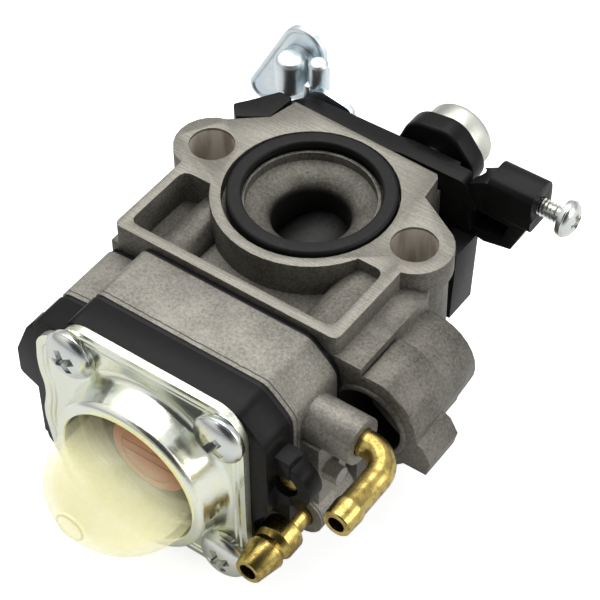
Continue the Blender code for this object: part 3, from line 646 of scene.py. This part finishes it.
def box(low: Sequence[float], high: Sequence[float], bevel: float = 0.0) -> bmesh.types.BMesh:
    """Make a box between two corners.

    Args:
        low: the lowest corner, in millimetres.
        high: the highest corner.
        bevel: the width of a bevel on the edges, or 0.

    Returns:
        The bmesh in millimetres.
    """
    mesh = bmesh.new()
    bmesh.ops.create_cube(mesh, size=1.0)
    bmesh.ops.scale(mesh, vec=Vector(high) - Vector(low), verts=mesh.verts)
    bmesh.ops.translate(mesh, vec=(Vector(high) + Vector(low)) / 2, verts=mesh.verts)
    if bevel:
        bevel_sharp(mesh, bevel)
    return mesh


def carved(mesh: bmesh.types.BMesh, tools: Iterable[bmesh.types.BMesh],
           operation: str = "DIFFERENCE") -> bmesh.types.BMesh:
    """Cut other bmeshes out of one, or weld them to it.

    Args:
        mesh: the bmesh to work on, which is freed.
        tools: the other bmeshes, which are freed.
        operation: DIFFERENCE to cut or UNION to weld.

    Returns:
        The result, in the same unit.
    """
    def as_object(source: bmesh.types.BMesh) -> bpy.types.Object:
        """Link a bmesh as a throw-away object."""
        data = bpy.data.meshes.new("scratch")
        source.to_mesh(data)
        source.free()
        item = bpy.data.objects.new("scratch", data)
        bpy.context.scene.collection.objects.link(item)
        return item

    target, cutters = as_object(mesh), [as_object(tool) for tool in tools]
    for cutter in cutters:
        modifier = target.modifiers.new("cut", "BOOLEAN")
        modifier.operation, modifier.object, modifier.solver = operation, cutter, "EXACT"
    bpy.context.view_layer.update()
    result = bmesh.new()
    result.from_object(target, bpy.context.evaluated_depsgraph_get())
    for item in (target, *cutters):
        bpy.data.objects.remove(item, do_unlink=True)
    return result


def joined(*parts: bmesh.types.BMesh) -> bmesh.types.BMesh:
    """Put several closed bmeshes side by side in one.

    Args:
        parts: the bmeshes, which are freed.

    Returns:
        The bmesh that holds them all.
    """
    whole = bmesh.new()
    for part in parts:
        data = bpy.data.meshes.new("scratch")
        part.to_mesh(data)
        part.free()
        whole.from_mesh(data)
        bpy.data.meshes.remove(data)
    return whole


def extruded(mesh: bmesh.types.BMesh, face: bmesh.types.BMFace, along: Sequence[float]) -> None:
    """Extrude a face and turn the solid's faces outward.

    Args:
        mesh: the bmesh.
        face: the face to extrude.
        along: how far it moves.
    """
    out = bmesh.ops.extrude_face_region(mesh, geom=[face])
    moved = [item for item in out["geom"] if isinstance(item, bmesh.types.BMVert)]
    bmesh.ops.translate(mesh, vec=along, verts=moved)
    bmesh.ops.recalc_face_normals(mesh, faces=mesh.faces)


def slab(corners: Sequence[tuple[float, float, float]], low: float, high: float,
         steps: int = 8) -> bmesh.types.BMesh:
    """Extrude a polygon in X and Z along Y.

    Args:
        corners: x, z and how far along its edges each corner is rounded, in millimetres.
        low: the lower Y.
        high: the upper Y.
        steps: segments of a rounded corner.

    Returns:
        The bmesh in millimetres.
    """
    mesh = bmesh.new()
    loop = [mesh.verts.new((x, low, z)) for x, z, _ in corners]
    mesh.faces.new(loop)
    for vert, (_, _, cut) in zip(loop, corners):
        if cut:
            bmesh.ops.bevel(mesh, geom=[vert], offset=cut, segments=steps, affect="VERTICES",
                            profile=0.5, material=-1)
    mesh.faces.ensure_lookup_table()
    extruded(mesh, mesh.faces[0], (0, high - low, 0))
    return mesh


def hull(circles: Sequence[tuple[float, float, float]], low: float, high: float) -> bmesh.types.BMesh:
    """Make the solid round several circles.

    Args:
        circles: x, z and radius of each, in millimetres.
        low: the lower Y.
        high: the upper Y.

    Returns:
        The bmesh in millimetres.
    """
    mesh = bmesh.new()
    for x, z, radius in circles:
        place = Matrix.Translation((x, low, z)) @ Matrix.Rotation(pi / 2, 4, "X")
        bmesh.ops.create_circle(mesh, segments=48, radius=radius, matrix=place)
    top = bmesh.ops.duplicate(mesh, geom=mesh.verts[:])["geom"]
    bmesh.ops.translate(mesh, vec=(0, high - low, 0),
                        verts=[v for v in top if isinstance(v, bmesh.types.BMVert)])
    out = bmesh.ops.convex_hull(mesh, input=mesh.verts[:])
    spare = {v for v in out["geom_interior"] + out["geom_unused"] if isinstance(v, bmesh.types.BMVert)}
    bmesh.ops.delete(mesh, geom=list(spare), context="VERTS")
    bmesh.ops.delete(mesh, geom=[e for e in mesh.edges if not e.link_faces], context="EDGES")
    bmesh.ops.dissolve_limit(mesh, angle_limit=radians(1.0), verts=mesh.verts, edges=mesh.edges)
    bmesh.ops.recalc_face_normals(mesh, faces=mesh.faces)
    return mesh


def shifted(mesh: bmesh.types.BMesh, towards: Sequence[float], where: Sequence[float]) -> bmesh.types.BMesh:
    """Turn a bmesh from +Z to another direction and move its origin.

    Args:
        mesh: the bmesh.
        towards: the direction that its +Z takes.
        where: where its origin goes.

    Returns:
        The same bmesh.
    """
    turn = Vector((0, 0, 1)).rotation_difference(Vector(towards)).to_matrix()
    bmesh.ops.rotate(mesh, cent=(0, 0, 0), matrix=turn, verts=mesh.verts)
    bmesh.ops.translate(mesh, vec=where, verts=mesh.verts)
    return mesh


def arc(centre: tuple[float, float], radius: float, start: float, end: float,
        steps: int = 8) -> list[tuple[float, float]]:
    """Make profile points on an arc.

    Args:
        centre: the arc's centre, as radius and along.
        radius: the arc's radius.
        start: the first angle, in degrees from the radius axis.
        end: the last angle.
        steps: how many steps the arc has.

    Returns:
        The points in order.
    """
    angles = [radians(start + (end - start) * i / steps) for i in range(steps + 1)]
    return [(centre[0] + radius * cos(a), centre[1] + radius * sin(a)) for a in angles]


def cross_head(radius: float, high: float, shank: float, length: float,
               groove: float = 0.62) -> bmesh.types.BMesh:
    """Return a domed screw with a tapered cross recess.

    Args:
        radius: the head's radius.
        high: the head's height above the origin.
        shank: the shank's radius.
        length: the shank's length below the origin.
        groove: half the cross's span over the head's radius.

    Returns:
        The bmesh in millimetres, head towards +Z.
    """
    rim = high * 0.34
    angles = [radians(t) for t in range(0, 86, 6)]
    dome = [((radius - 0.1) * sin(a), rim + (high - rim) * cos(a)) for a in angles]
    profile = dome + arc((radius - 0.22, rim), 0.22, 60, -10, 4) + [(radius - 0.12, 0), (shank, 0),
                                                                   (shank, -length), (0, -length)]
    profile[0] = (0, high)
    screw = turned(profile, Axis.Z, (0, 0, 0), 72)
    wide = 0.19 * radius
    arms = []
    for x, y in ((groove * radius, wide), (wide, groove * radius)):
        arm = box((-x, -y, high * 0.35), (x, y, high + 1))
        foot = [v for v in arm.verts if v.co.z < high * 0.5]
        bmesh.ops.scale(arm, vec=(0.62, 0.62, 1), verts=foot)
        arms.append(arm)
    screw = carved(screw, arms)
    bevel_sharp(screw, 0.05, 2, radians(35))
    return screw


# ---------------------------------------------------------------- pieces


@dataclass
class Housing:
    """Main casting, the castings and mouldings round it, and the machined rim of its side tube."""

    edges: dict[str, float] = field(default_factory=lambda: {
        "carburetor_body": 0.14, "metering_block": 0.25, "primer_base": 0.3, "cable_bracket": 0.35})
    rim_radius: float = 4.72
    rim_front: float = -18.58

    def build(self) -> None:
        """Round the edges of the castings and mouldings and add the side tube's rim and flat."""
        for node, width in self.edges.items():
            softened(node, width, 3 if width > 0.3 else 2)
        inner, outer, front = self.rim_radius, self.rim_radius + 0.75, self.rim_front
        rim = [(inner, front), (outer - 0.2, front), (outer, front + 0.28), (outer, front + 0.58),
               (inner, front + 0.58)]
        finished("tube_rim", turned(rim, Axis.Y, SIDE_TUBE, 96, 0.06), "carburetor_body")
        facet = slab([(20.2, -4.0, 0.4), (23.4, -3.85, 0.9), (26.9, -6.3, 1.0), (28.5, -10.2, 0.8),
                      (27.4, -12.4, 0.4), (22.0, -8.0, 0)], -18.25, -10.8)
        bevel_sharp(facet, 0.3, 2)
        finished("tube_facet", facet, "carburetor_body")


@dataclass
class Sealing:
    """O-ring that sits a little off centre in the flange groove."""

    inner: float = 8.85
    outer: float = 10.85
    foot: float = -1.9
    top: float = 0.2
    offset: float = 0.3

    def build(self) -> None:
        """Spin the ring with a flat top and rounded shoulders."""
        profile = [(self.inner + 0.35, self.foot), (self.outer, self.foot)]
        profile += arc((self.outer - 0.5, self.top - 0.5), 0.5, 0, 90)
        profile += arc((self.inner + 0.35, self.top - 0.35), 0.35, 90, 180)
        profile += [(self.inner, self.top - 0.9), (self.inner + 0.35, self.top - 1.25)]
        finished("o_ring", turned(profile, Axis.Z, (0, self.offset, 0), 160), "flange_o_ring")


@dataclass
class Barrel:
    """Throttle barrel in its chamber, and the cover behind it."""

    cover_radius: float = 7.9
    cover_y: tuple[float, float] = (11.2, 12.5)
    nut_radius: float = 4.0
    nut_y: tuple[float, float] = (17.55, 19.0)

    def ring(self, inner: float, outer: float, span: tuple[float, float],
             bevel: float) -> bmesh.types.BMesh:
        """Spin a flat ring about the shaft.

        Args:
            inner: the inner radius.
            outer: the outer radius.
            span: the lower and the upper Y.
            bevel: the width of the bevel on its edges.

        Returns:
            The bmesh in millimetres.
        """
        low, high = span
        return turned([(inner, low), (outer, low), (outer, high), (inner, high)], Axis.Y, SHAFT, 72, bevel)

    def build(self) -> None:
        """Soften the barrel and spin the cover and the nut."""
        softened("throttle_barrel", 0.12, 2, FINISHES.near_black)
        finished("cover", self.ring(2.75, self.cover_radius, self.cover_y, 0.12), "barrel_cover")
        finished("nut", self.ring(2.58, self.nut_radius, self.nut_y, 0.15), "lever_nut")


@dataclass
class Primer:
    """Primer bulb with its nub, and the rubber valve that shows through it."""

    radius: float = 9.5
    wall: float = 1.1
    seat: float = -39.4
    tip: float = -49.6
    foot: float = -33.8
    nub_radius: float = 2.1
    tilt: float = 1.6
    valve_radius: float = 5.7
    valve_front: float = -35.2

    def dome(self, inset: float, steps: int = 28) -> list[tuple[float, float]]:
        """Work out the dome's profile from the seat to the tip.

        Args:
            inset: how far the profile is moved inward.
            steps: how many steps the quarter turn has.

        Returns:
            The points in order.
        """
        radius, length = self.radius - inset, self.seat - self.tip - inset
        angles = [radians(90 * i / steps) for i in range(steps + 1)]
        points = [(radius * cos(a) ** 0.93, self.seat - length * sin(a)) for a in angles]
        points[-1] = (0, self.seat - length)
        return points

    def bulb(self) -> None:
        """Spin the bulb as one closed shell from the plate to the tip and bend its far end upward."""
        outer = self.dome(0.0)
        step = [p for p in outer if p[0] > self.nub_radius + 0.25]
        high, nub = self.tip - 0.3, self.nub_radius
        crown = [(nub + 0.1, self.tip + 0.12)] + arc((nub - 0.2, high + 0.2), 0.2, 0, -90, 4)
        crown += [(nub - 0.5, high), (nub - 0.62, high + 0.14), (0, high + 0.14)]
        inner = self.dome(self.wall)[::-1]
        foot = [(self.radius - self.wall, self.foot), (10.6, self.foot), (10.6, self.foot - 1.8),
                (self.radius, self.foot - 2.2)]
        shell = turned(inner + foot + step + crown, Axis.Y, BULB_AXIS, 128)
        for vert in shell.verts:
            out = max(0.0, self.seat - vert.co.y) / (self.seat - self.tip)
            vert.co.z += self.tilt * out * out * (2.0 - out)
        item = finished("bulb", shell, "primer_bulb", rides=False)
        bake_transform(item)

    def valve(self) -> None:
        """Spin the mushroom valve and weld two raised bars across it."""
        radius, front = self.valve_radius, self.valve_front
        profile = [(0, front)] + arc((radius - 0.4, front + 0.4), 0.4, -90, 0, 5)
        profile += [(radius - 0.3, front + 1.1), (2.4, -32.2), (0.9, -31.4), (0.9, -30.3), (0, -30.3)]
        disc = turned(profile, Axis.Y, BULB_AXIS, 96)
        x, _, z = BULB_AXIS
        inner, outer = radius * 0.72, radius * 0.72 + 0.3
        ring = turned([(inner, front - 0.16), (outer, front - 0.16), (outer, front + 0.2),
                       (inner, front + 0.2)], Axis.Y, BULB_AXIS, 96)
        bars = [box((x - 4.0, front - 0.18, z + dz), (x + 4.0, front + 0.2, z + dz + 0.28), 0.06)
                for dz in (-0.9, 0.7)]
        finished("valve", joined(disc, ring, *bars), "primer_check_valve")

    def build(self) -> None:
        """Build the bulb and the valve."""
        self.bulb()
        self.valve()


@dataclass
class Plate:
    """Stamped retainer plate: beaded sheet, flared turret, screw holes and a small window."""

    front: float = -34.5
    back: float = -33.45
    seat: float = -39.4
    hole: float = 2.0

    def sheet(self) -> bmesh.types.BMesh:
        """Return the sheet with a raised double bead inside its rim."""
        corners = [(-10.6, -0.3, 2.1), (12.6, -0.3, 1.6), (15.0, -3.0, 1.6), (15.0, -28.6, 1.5),
                   (12.6, -31.5, 1.6), (-10.4, -31.5, 1.8), (-15.4, -28.0, 1.8), (-16.7, -20.0, 1.4),
                   (-15.7, -15.2, 1.6), (-16.7, -11.0, 1.8), (-16.2, -5.2, 2.0), (-12.6, -3.6, 1.6)]
        mesh = slab(corners, self.front, self.back)
        face = min(mesh.faces, key=lambda f: f.calc_center_median().y)
        for width, depth in ((0.75, 0.0), (0.16, 0.18), (0.14, 0.0), (0.16, -0.14), (0.22, 0.0),
                             (0.16, 0.12), (0.14, 0.0), (0.18, -0.16)):
            bmesh.ops.inset_region(mesh, faces=[face], thickness=width, depth=depth, use_even_offset=True)
        return mesh

    def turret(self) -> bmesh.types.BMesh:
        """Return the solid turret with its flare and rounded mouth."""
        profile = [(0, self.back + 0.02), (12.5, self.back + 0.02), (12.75, self.front - 0.02)]
        profile += arc((12.75, self.front - 1.12), 1.1, 90, 165, 8)
        profile += [(11.5, -36.4), (11.38, -37.6)]
        profile += arc((10.38, self.seat + 0.9), 0.9, 10, -90, 10) + [(0, self.seat)]
        return turned(profile, Axis.Y, BULB_AXIS, 144)

    def hollow(self) -> bmesh.types.BMesh:
        """Return the turret's inside and the bulb's opening."""
        profile = [(0, -32.0), (11.1, -32.0), (11.1, self.front - 0.2), (10.85, -36.2), (10.55, -38.3),
                   (9.75, -38.5), (9.75, self.seat + 0.2), (9.95, self.seat - 0.1), (9.95, -40.4),
                   (0, -40.4)]
        return turned(profile, Axis.Y, BULB_AXIS, 144)

    def build(self) -> None:
        """Weld the sheet to the turret and cut the openings."""
        plate = carved(self.sheet(), [self.turret()], "UNION")
        x, _, z = BULB_AXIS
        tools = [self.hollow(), box((x + 9.7, -37.9, z - 1.2), (x + 13.1, -36.2, z + 0.6), 0.15)]
        for sx, sz in ((-1, 1), (1, 1), (1, -1), (-1, -1)):
            here = (x + sx * PLATE_SCREWS[0], 0, z + sz * PLATE_SCREWS[1])
            tools.append(turned([(0, -40), (self.hole, -40), (self.hole, -30), (0, -30)], Axis.Y, here, 40))
        finished("plate", carved(plate, tools), "retainer_plate")


@dataclass
class Screws:
    """Domed cross-recess screws of the plate and of the bracket."""

    head: float = 3.5
    small_head: float = 2.6
    plate_y: float = -34.55
    bracket_y: float = 15.95
    bracket_places: tuple[tuple[str, float, float], ...] = (("a", 10.9, -14.0), ("b", -2.0, -26.0))

    def build(self) -> None:
        """Place four screws towards -Y and two towards +Y."""
        for tag, sx, sz in (("a", -1, 1), ("b", 1, 1), ("c", 1, -1), ("d", -1, -1)):
            screw = cross_head(self.head, 2.2, 1.4, 21.0)
            bmesh.ops.rotate(screw, cent=(0, 0, 0), matrix=Matrix.Rotation(0.5 + sx + sz, 3, "Z"),
                             verts=screw.verts)
            where = (BULB_AXIS[0] + sx * PLATE_SCREWS[0], self.plate_y,
                     BULB_AXIS[2] + sz * PLATE_SCREWS[1])
            finished("screw_" + tag, shifted(screw, (0, -1, 0), where), "plate_screw_" + tag)
        for tag, x, z in self.bracket_places:
            screw = cross_head(self.small_head, 1.65, 1.1, 8.9)
            finished("bracket_bolt_" + tag, shifted(screw, (0, 1, 0), (x, self.bracket_y, z)),
                     "bracket_screw_" + tag)


@dataclass
class Fittings:
    """Turned hose nipple, bent nipple and the small brass plug."""

    nipple: tuple[float, float, float] = (18.0, 0, -22.2)
    plug: tuple[float, float, float] = (18.8, 0, -12.0)
    elbow_x: float = 28.5
    elbow_y: float = -23.5
    elbow_z: float = -8.2
    elbow_start: float = 20.0
    elbow_radius: float = 1.75
    elbow_bore: float = 1.1
    bend: float = 3.6
    bend_steps: int = 24

    def straight(self) -> None:
        """Spin the straight nipple with its collar and two barbs."""
        profile = [(1.15, -25.0), (1.7, -25.0), (1.7, -30.5)] + arc((2.35, -30.9), 0.3, 90, 0, 4)
        profile += arc((2.35, -33.0), 0.3, 0, -60, 4) + [(2.15, -33.9), (2.2, -34.2)]
        profile += arc((2.3, -34.75), 0.22, 60, -20, 4) + [(1.8, -38.3), (1.72, -38.4), (1.15, -38.4)]
        finished("nipple", turned(profile, Axis.Y, self.nipple, 96), "straight_nipple")

    def elbow(self) -> None:
        """Turn the barbed tube in one straight piece, then bend its far end over towards -X."""
        outer, bore, near = self.elbow_radius, self.elbow_bore, self.elbow_y - self.bend
        far = near + self.bend * pi / 2
        inner = far + self.elbow_x - self.bend - self.elbow_start
        steps = [near + (far - near) * i / self.bend_steps for i in range(self.bend_steps + 1)]
        profile = [(bore, -35.18), (1.72, -35.18), (1.83, -35.05), (1.9, -33.4), (1.95, -32.6),
                   (1.88, -32.2), (outer, -31.95)]
        profile += [(outer, y) for y in steps] + [(outer, inner), (bore, inner)]
        profile += [(bore, y) for y in reversed(steps)]
        mesh = turned(profile, Axis.Y, (self.elbow_x, 0, self.elbow_z), 64)
        for vert in (v for v in mesh.verts if v.co.y > near):
            radius = self.bend + vert.co.x - self.elbow_x
            angle = min((vert.co.y - near) / self.bend, pi / 2)
            vert.co.x = self.elbow_x - self.bend + radius * cos(angle) - max(0.0, vert.co.y - far)
            vert.co.y = near + radius * sin(angle)
        finished("elbow", mesh, "elbow_nipple")

    def build(self) -> None:
        """Build the three brass pieces."""
        self.straight()
        self.elbow()
        finished("plug", turned([(0, -31.05), (1.2, -31.05), (1.35, -30.9), (1.35, -29.65), (0, -29.65)],
                                Axis.Y, self.plug, 48), "brass_plug")


@dataclass
class Lever:
    """Throttle lever with its hub, riser and rimmed arm, and the cable swivel on it."""

    hub_y: tuple[float, float] = (16.6, 17.5)
    arm_y: tuple[float, float] = (20.7, 21.5)
    circles: tuple[tuple[float, float, float], ...] = ((-16.0, 0.9, 3.4), (-23.0, -9.2, 2.0),
                                                       (-14.6, -5.0, 2.0))
    swivel: tuple[float, float] = (-16.3, -1.4)
    post: tuple[float, float, float] = (-11.75, 18.2, 0)

    def arm(self) -> bmesh.types.BMesh:
        """Return the egg-shaped arm with a rim raised on the side of the swivel."""
        mesh = hull(self.circles, *self.arm_y)
        for face in (min(mesh.faces, key=lambda f: f.calc_center_median().y),
                     max(mesh.faces, key=lambda f: f.calc_center_median().y)):
            for width, depth in ((0.14, 0.16), (0.10, 0.06), (0.24, 0.0), (0.12, -0.08), (0.2, -0.14)):
                bmesh.ops.inset_region(mesh, faces=[face], thickness=width, depth=depth,
                                       use_even_offset=True)
        return mesh

    def lever(self) -> None:
        """Weld the lever's parts and cut its two holes."""
        hub = slab([(4.6, -15.8, 3.0), (3.0, -12.4, 1.2), (-4.8, -6.0, 2.0), (-5.4, -1.4, 1.0),
                    (-10.6, -0.4, 1.2), (-13.2, -2.6, 1.0), (-12.8, -7.6, 2.0), (-5.0, -18.2, 2.0),
                    (0.0, -20.0, 1.8)], *self.hub_y)
        bevel_sharp(hub, 0.22, 3)
        riser = box((-13.1, self.hub_y[0], -6.2), (-12.1, self.arm_y[1], -0.8), 0.2)
        post = turned([(0, -3.0), (1.35, -3.0)] + arc((0.75, 2.2), 0.6, 0, 90) + [(0, 2.8)], Axis.Z,
                      self.post, 64)
        solid = carved(hub, [self.arm(), riser, post], "UNION")
        bores = [turned([(0, 15), (2.58, 15), (2.58, 20), (0, 20)], Axis.Y, SHAFT, 48),
                 turned([(0, 15), (1.65, 15), (1.65, 24), (0, 24)], Axis.Y,
                        (self.swivel[0], 0, self.swivel[1]), 48)]
        finished("lever", carved(solid, bores), "throttle_lever", FINISHES.blued)

    def cable(self) -> None:
        """Build the swivel's trunnion, slotted cross barrel and retaining ring."""
        x, z = self.swivel
        pin = turned([(0, 17.6), (1.55, 17.6), (1.55, 19.7), (2.8, 19.7), (2.8, 20.65), (1.55, 20.65),
                      (1.55, 22.65), (1.4, 22.8), (0, 22.8)], Axis.Y, (x, 0, z), 64)
        rounding = arc((1.3, -2.1), 0.8, -90, 0) + arc((1.3, 2.0), 0.8, 0, 90)
        head = turned([(0, -2.9)] + rounding + [(0, 2.8)], Axis.Z, (x, 18.2, z), 72)
        slot = box((x - 0.4, 15.0, z - 5.0), (x + 0.4, 18.4, z - 1.8))
        finished("swivel", carved(carved(pin, [head], "UNION"), [slot]), "cable_swivel", FINISHES.blued)
        ring = [(1.6, 21.6), (2.5, 21.6), (2.5, 22.2), (1.6, 22.2)]
        finished("clip", turned(ring, Axis.Y, (x, 0, z), 48, 0.08), "swivel_clip")

    def build(self) -> None:
        """Build the lever and the swivel."""
        self.lever()
        self.cable()


@dataclass
class Adjuster:
    """Cable adjuster's metal cap and the six-sided collar that locks it."""

    centre: tuple[float, float] = (7.4, -3.6)
    collar_radius: float = 6.5
    cap_radius: float = 4.75

    def build(self) -> None:
        """Spin the cap; extrude, round and bore the collar."""
        x, z = self.centre
        cap = [(0.9, 13.6), (2.35, 13.6), (2.35, 20.2)] + arc((self.cap_radius - 0.3, 20.5), 0.3, -90, 0, 4)
        cap += arc((self.cap_radius - 0.75, 22.95), 0.75, 0, 90, 6) + [(0.9, 23.7)]
        finished("cap", turned(cap, Axis.Y, (x, 0, z), 96), "cable_adjuster", FINISHES.dull)
        corners = [(x + self.collar_radius * cos(radians(60 * i + 8)),
                    z + self.collar_radius * sin(radians(60 * i + 8)), 1.9) for i in range(6)]
        collar = slab(corners, 16.75, 19.9)
        bevel_sharp(collar, 0.45, 4)
        bore = turned([(0, 15), (2.5, 15), (2.5, 22), (0, 22)], Axis.Y, (x, 0, z), 48)
        finished("collar", carved(collar, [bore]), "adjuster_collar")


@dataclass
class IdleScrew:
    """Idle speed screw with a helical thread and a cross-recess head."""

    centre: tuple[float, float] = (16.0, -1.6)
    core: float = 0.98
    crest: float = 1.22
    pitch: float = 0.5
    start: float = 15.4
    head: float = 27.2
    head_radius: float = 2.5
    head_height: float = 1.9

    def thread(self, steps: int = 24) -> bmesh.types.BMesh:
        """Wind a closed triangular bar round the core.

        Args:
            steps: how many steps one turn has.

        Returns:
            The bmesh in millimetres.
        """
        y, z = self.centre
        mesh = bmesh.new()
        low = self.start + 0.4
        turns = int((self.head - 0.7 - low) / self.pitch)
        root = self.core - 0.1
        flank = ((root, 0.0), (self.crest, self.pitch * 0.42), (root, self.pitch * 0.84))
        face = mesh.faces.new([mesh.verts.new((low + along, y + radius, z)) for radius, along in flank])
        bmesh.ops.spin(mesh, geom=[face, *face.edges, *face.verts], cent=(0, y, z), axis=(1, 0, 0),
                       angle=2 * pi * turns, steps=steps * turns, dvec=(self.pitch / steps, 0, 0))
        bmesh.ops.recalc_face_normals(mesh, faces=mesh.faces)
        return mesh

    def build(self) -> None:
        """Join the thread to the shank and the head."""
        y, z = self.centre
        screw = cross_head(self.head_radius, self.head_height, self.core, self.head - self.start - 0.2)
        shifted(screw, (1, 0, 0), (self.head, y, z))
        finished("idle_screw", joined(screw, self.thread()), "idle_speed_screw")


@dataclass
class Studio:
    """Floor, lamps, world and camera."""

    azimuth: float = 36.127
    elevation: float = 47.288
    roll: float = -0.627
    distance: float = 0.26606
    aim: tuple[float, float] = (-0.001357, -0.01334)
    lens: float = 128.1
    floor_gap: float = 0.002
    floor_glow: float = 0.72
    fill: float = 0.30
    sky: tuple[float, float, float, float] = (-0.30, 0.80, 0.20, 0.95)
    room: tuple[float, float, float, float] = (0.62, 0.90, 1.0, 0.05)
    overhead: tuple[tuple[float, float, float], float, float] = ((-0.14, 0.16, 0.60), 0.60, 3.4)
    side: tuple[tuple[float, float, float], float, float] = ((0.55, 0.20, 0.22), 0.40, 1.3)

    def towards_camera(self) -> Vector:
        """Return the unit vector from the throat's centre to the camera."""
        a, e = radians(self.azimuth), radians(self.elevation)
        return Vector((sin(a) * cos(e), -cos(a) * cos(e), sin(e)))

    def camera(self) -> None:
        """Place the camera round the throat's centre."""
        a, r = radians(self.azimuth), radians(self.roll)
        back = self.towards_camera()
        level = Vector((cos(a), sin(a), 0))
        rise = back.cross(level)
        right, up = level * cos(r) + rise * sin(r), rise * cos(r) - level * sin(r)
        data = bpy.data.cameras.new("camera")
        data.lens, data.clip_start, data.clip_end = self.lens, 0.01, 10.0
        item = bpy.data.objects.new("camera", data)
        bpy.context.scene.collection.objects.link(item)
        turn = Matrix((right, up, back)).transposed().to_4x4()
        where = right * self.aim[0] + up * self.aim[1] + back * self.distance
        item.matrix_world = Matrix.Translation(where) @ turn
        bpy.context.scene.camera = item

    def lamp(self, name: str, where: Sequence[float], size: float, watts: float) -> None:
        """Add a square area lamp that faces the throat's centre.

        Args:
            name: the lamp's name.
            where: its place, in metres.
            size: its side, in metres.
            watts: its power.
        """
        data = bpy.data.lights.new(name, "AREA")
        data.size, data.energy = size, watts
        item = bpy.data.objects.new(name, data)
        bpy.context.scene.collection.objects.link(item)
        item.location = where
        item.rotation_euler = Vector(where).to_track_quat("Z", "Y").to_euler()

    def world(self) -> None:
        """White for the camera and for reflections, and a soft grey fill for everything else."""
        world = bpy.data.worlds.new("studio")
        world.use_nodes = True
        s = Shading(world.node_tree)
        ground = s.tree.nodes["Background"]
        direction = s.add("ShaderNodeTexCoord", output="Generated")
        facing = s.add("ShaderNodeVectorMath", {"operation": "DOT_PRODUCT"},
                       {0: direction, 1: self.towards_camera()}, "Value")
        shown = s.ramp(s.axis("Z", direction), *self.sky) * s.ramp(facing, *self.room)
        lit = s.blend(s.add("ShaderNodeLightPath", output="Is Glossy Ray"), self.fill, shown)
        seen = s.add("ShaderNodeMath", {"operation": "MAXIMUM"},
                     {0: s.add("ShaderNodeLightPath", output="Is Camera Ray"),
                      1: s.add("ShaderNodeLightPath", output="Is Transmission Ray")})
        s.plug(ground.inputs["Color"], (1, 1, 1, 1))
        s.plug(ground.inputs["Strength"], s.blend(seen, lit, 1.0))
        bpy.context.scene.world = world

    def floor(self) -> None:
        """Lay a pale floor just under the object."""
        mesh = bmesh.new()
        bmesh.ops.create_grid(mesh, x_segments=1, y_segments=1, size=1.5)
        bmesh.ops.translate(mesh, vec=(0, 0, CAD_BOX[0].z - self.floor_gap), verts=mesh.verts)
        data = bpy.data.meshes.new("floor")
        mesh.to_mesh(data)
        mesh.free()
        item = bpy.data.objects.new("floor", data)
        bpy.context.scene.collection.objects.link(item)
        s = Surface("floor", (0.93, 0.93, 0.93), 0.9, 0.0)
        rays = s.add("ShaderNodeLightPath", output="Is Camera Ray")
        s.put("Emission Color", (1, 1, 1, 1))
        s.put("Emission Strength", rays * self.floor_glow)
        data.materials.append(s.material)

    def build(self) -> None:
        """Set the whole studio."""
        bpy.context.scene.view_settings.view_transform = "Standard"
        self.camera()
        self.world()
        self.floor()
        self.lamp("overhead", *self.overhead)
        self.lamp("side", *self.side)


def main() -> None:
    """Dress the CAD nodes, build the finer pieces and set the studio."""
    logging.basicConfig(level=logging.INFO, format="%(message)s")
    for node, item in frame["nodes"].items():
        FINISHES.dress(item, SLOT_OF[node])
    for part in (Housing(), Sealing(), Barrel(), Primer(), Plate(), Screws(), Fittings(), Lever(),
                 Adjuster(), IdleScrew(), Studio()):
        part.build()
        log.info("%s built", type(part).__name__)


if __name__ == "__main__":
    main()
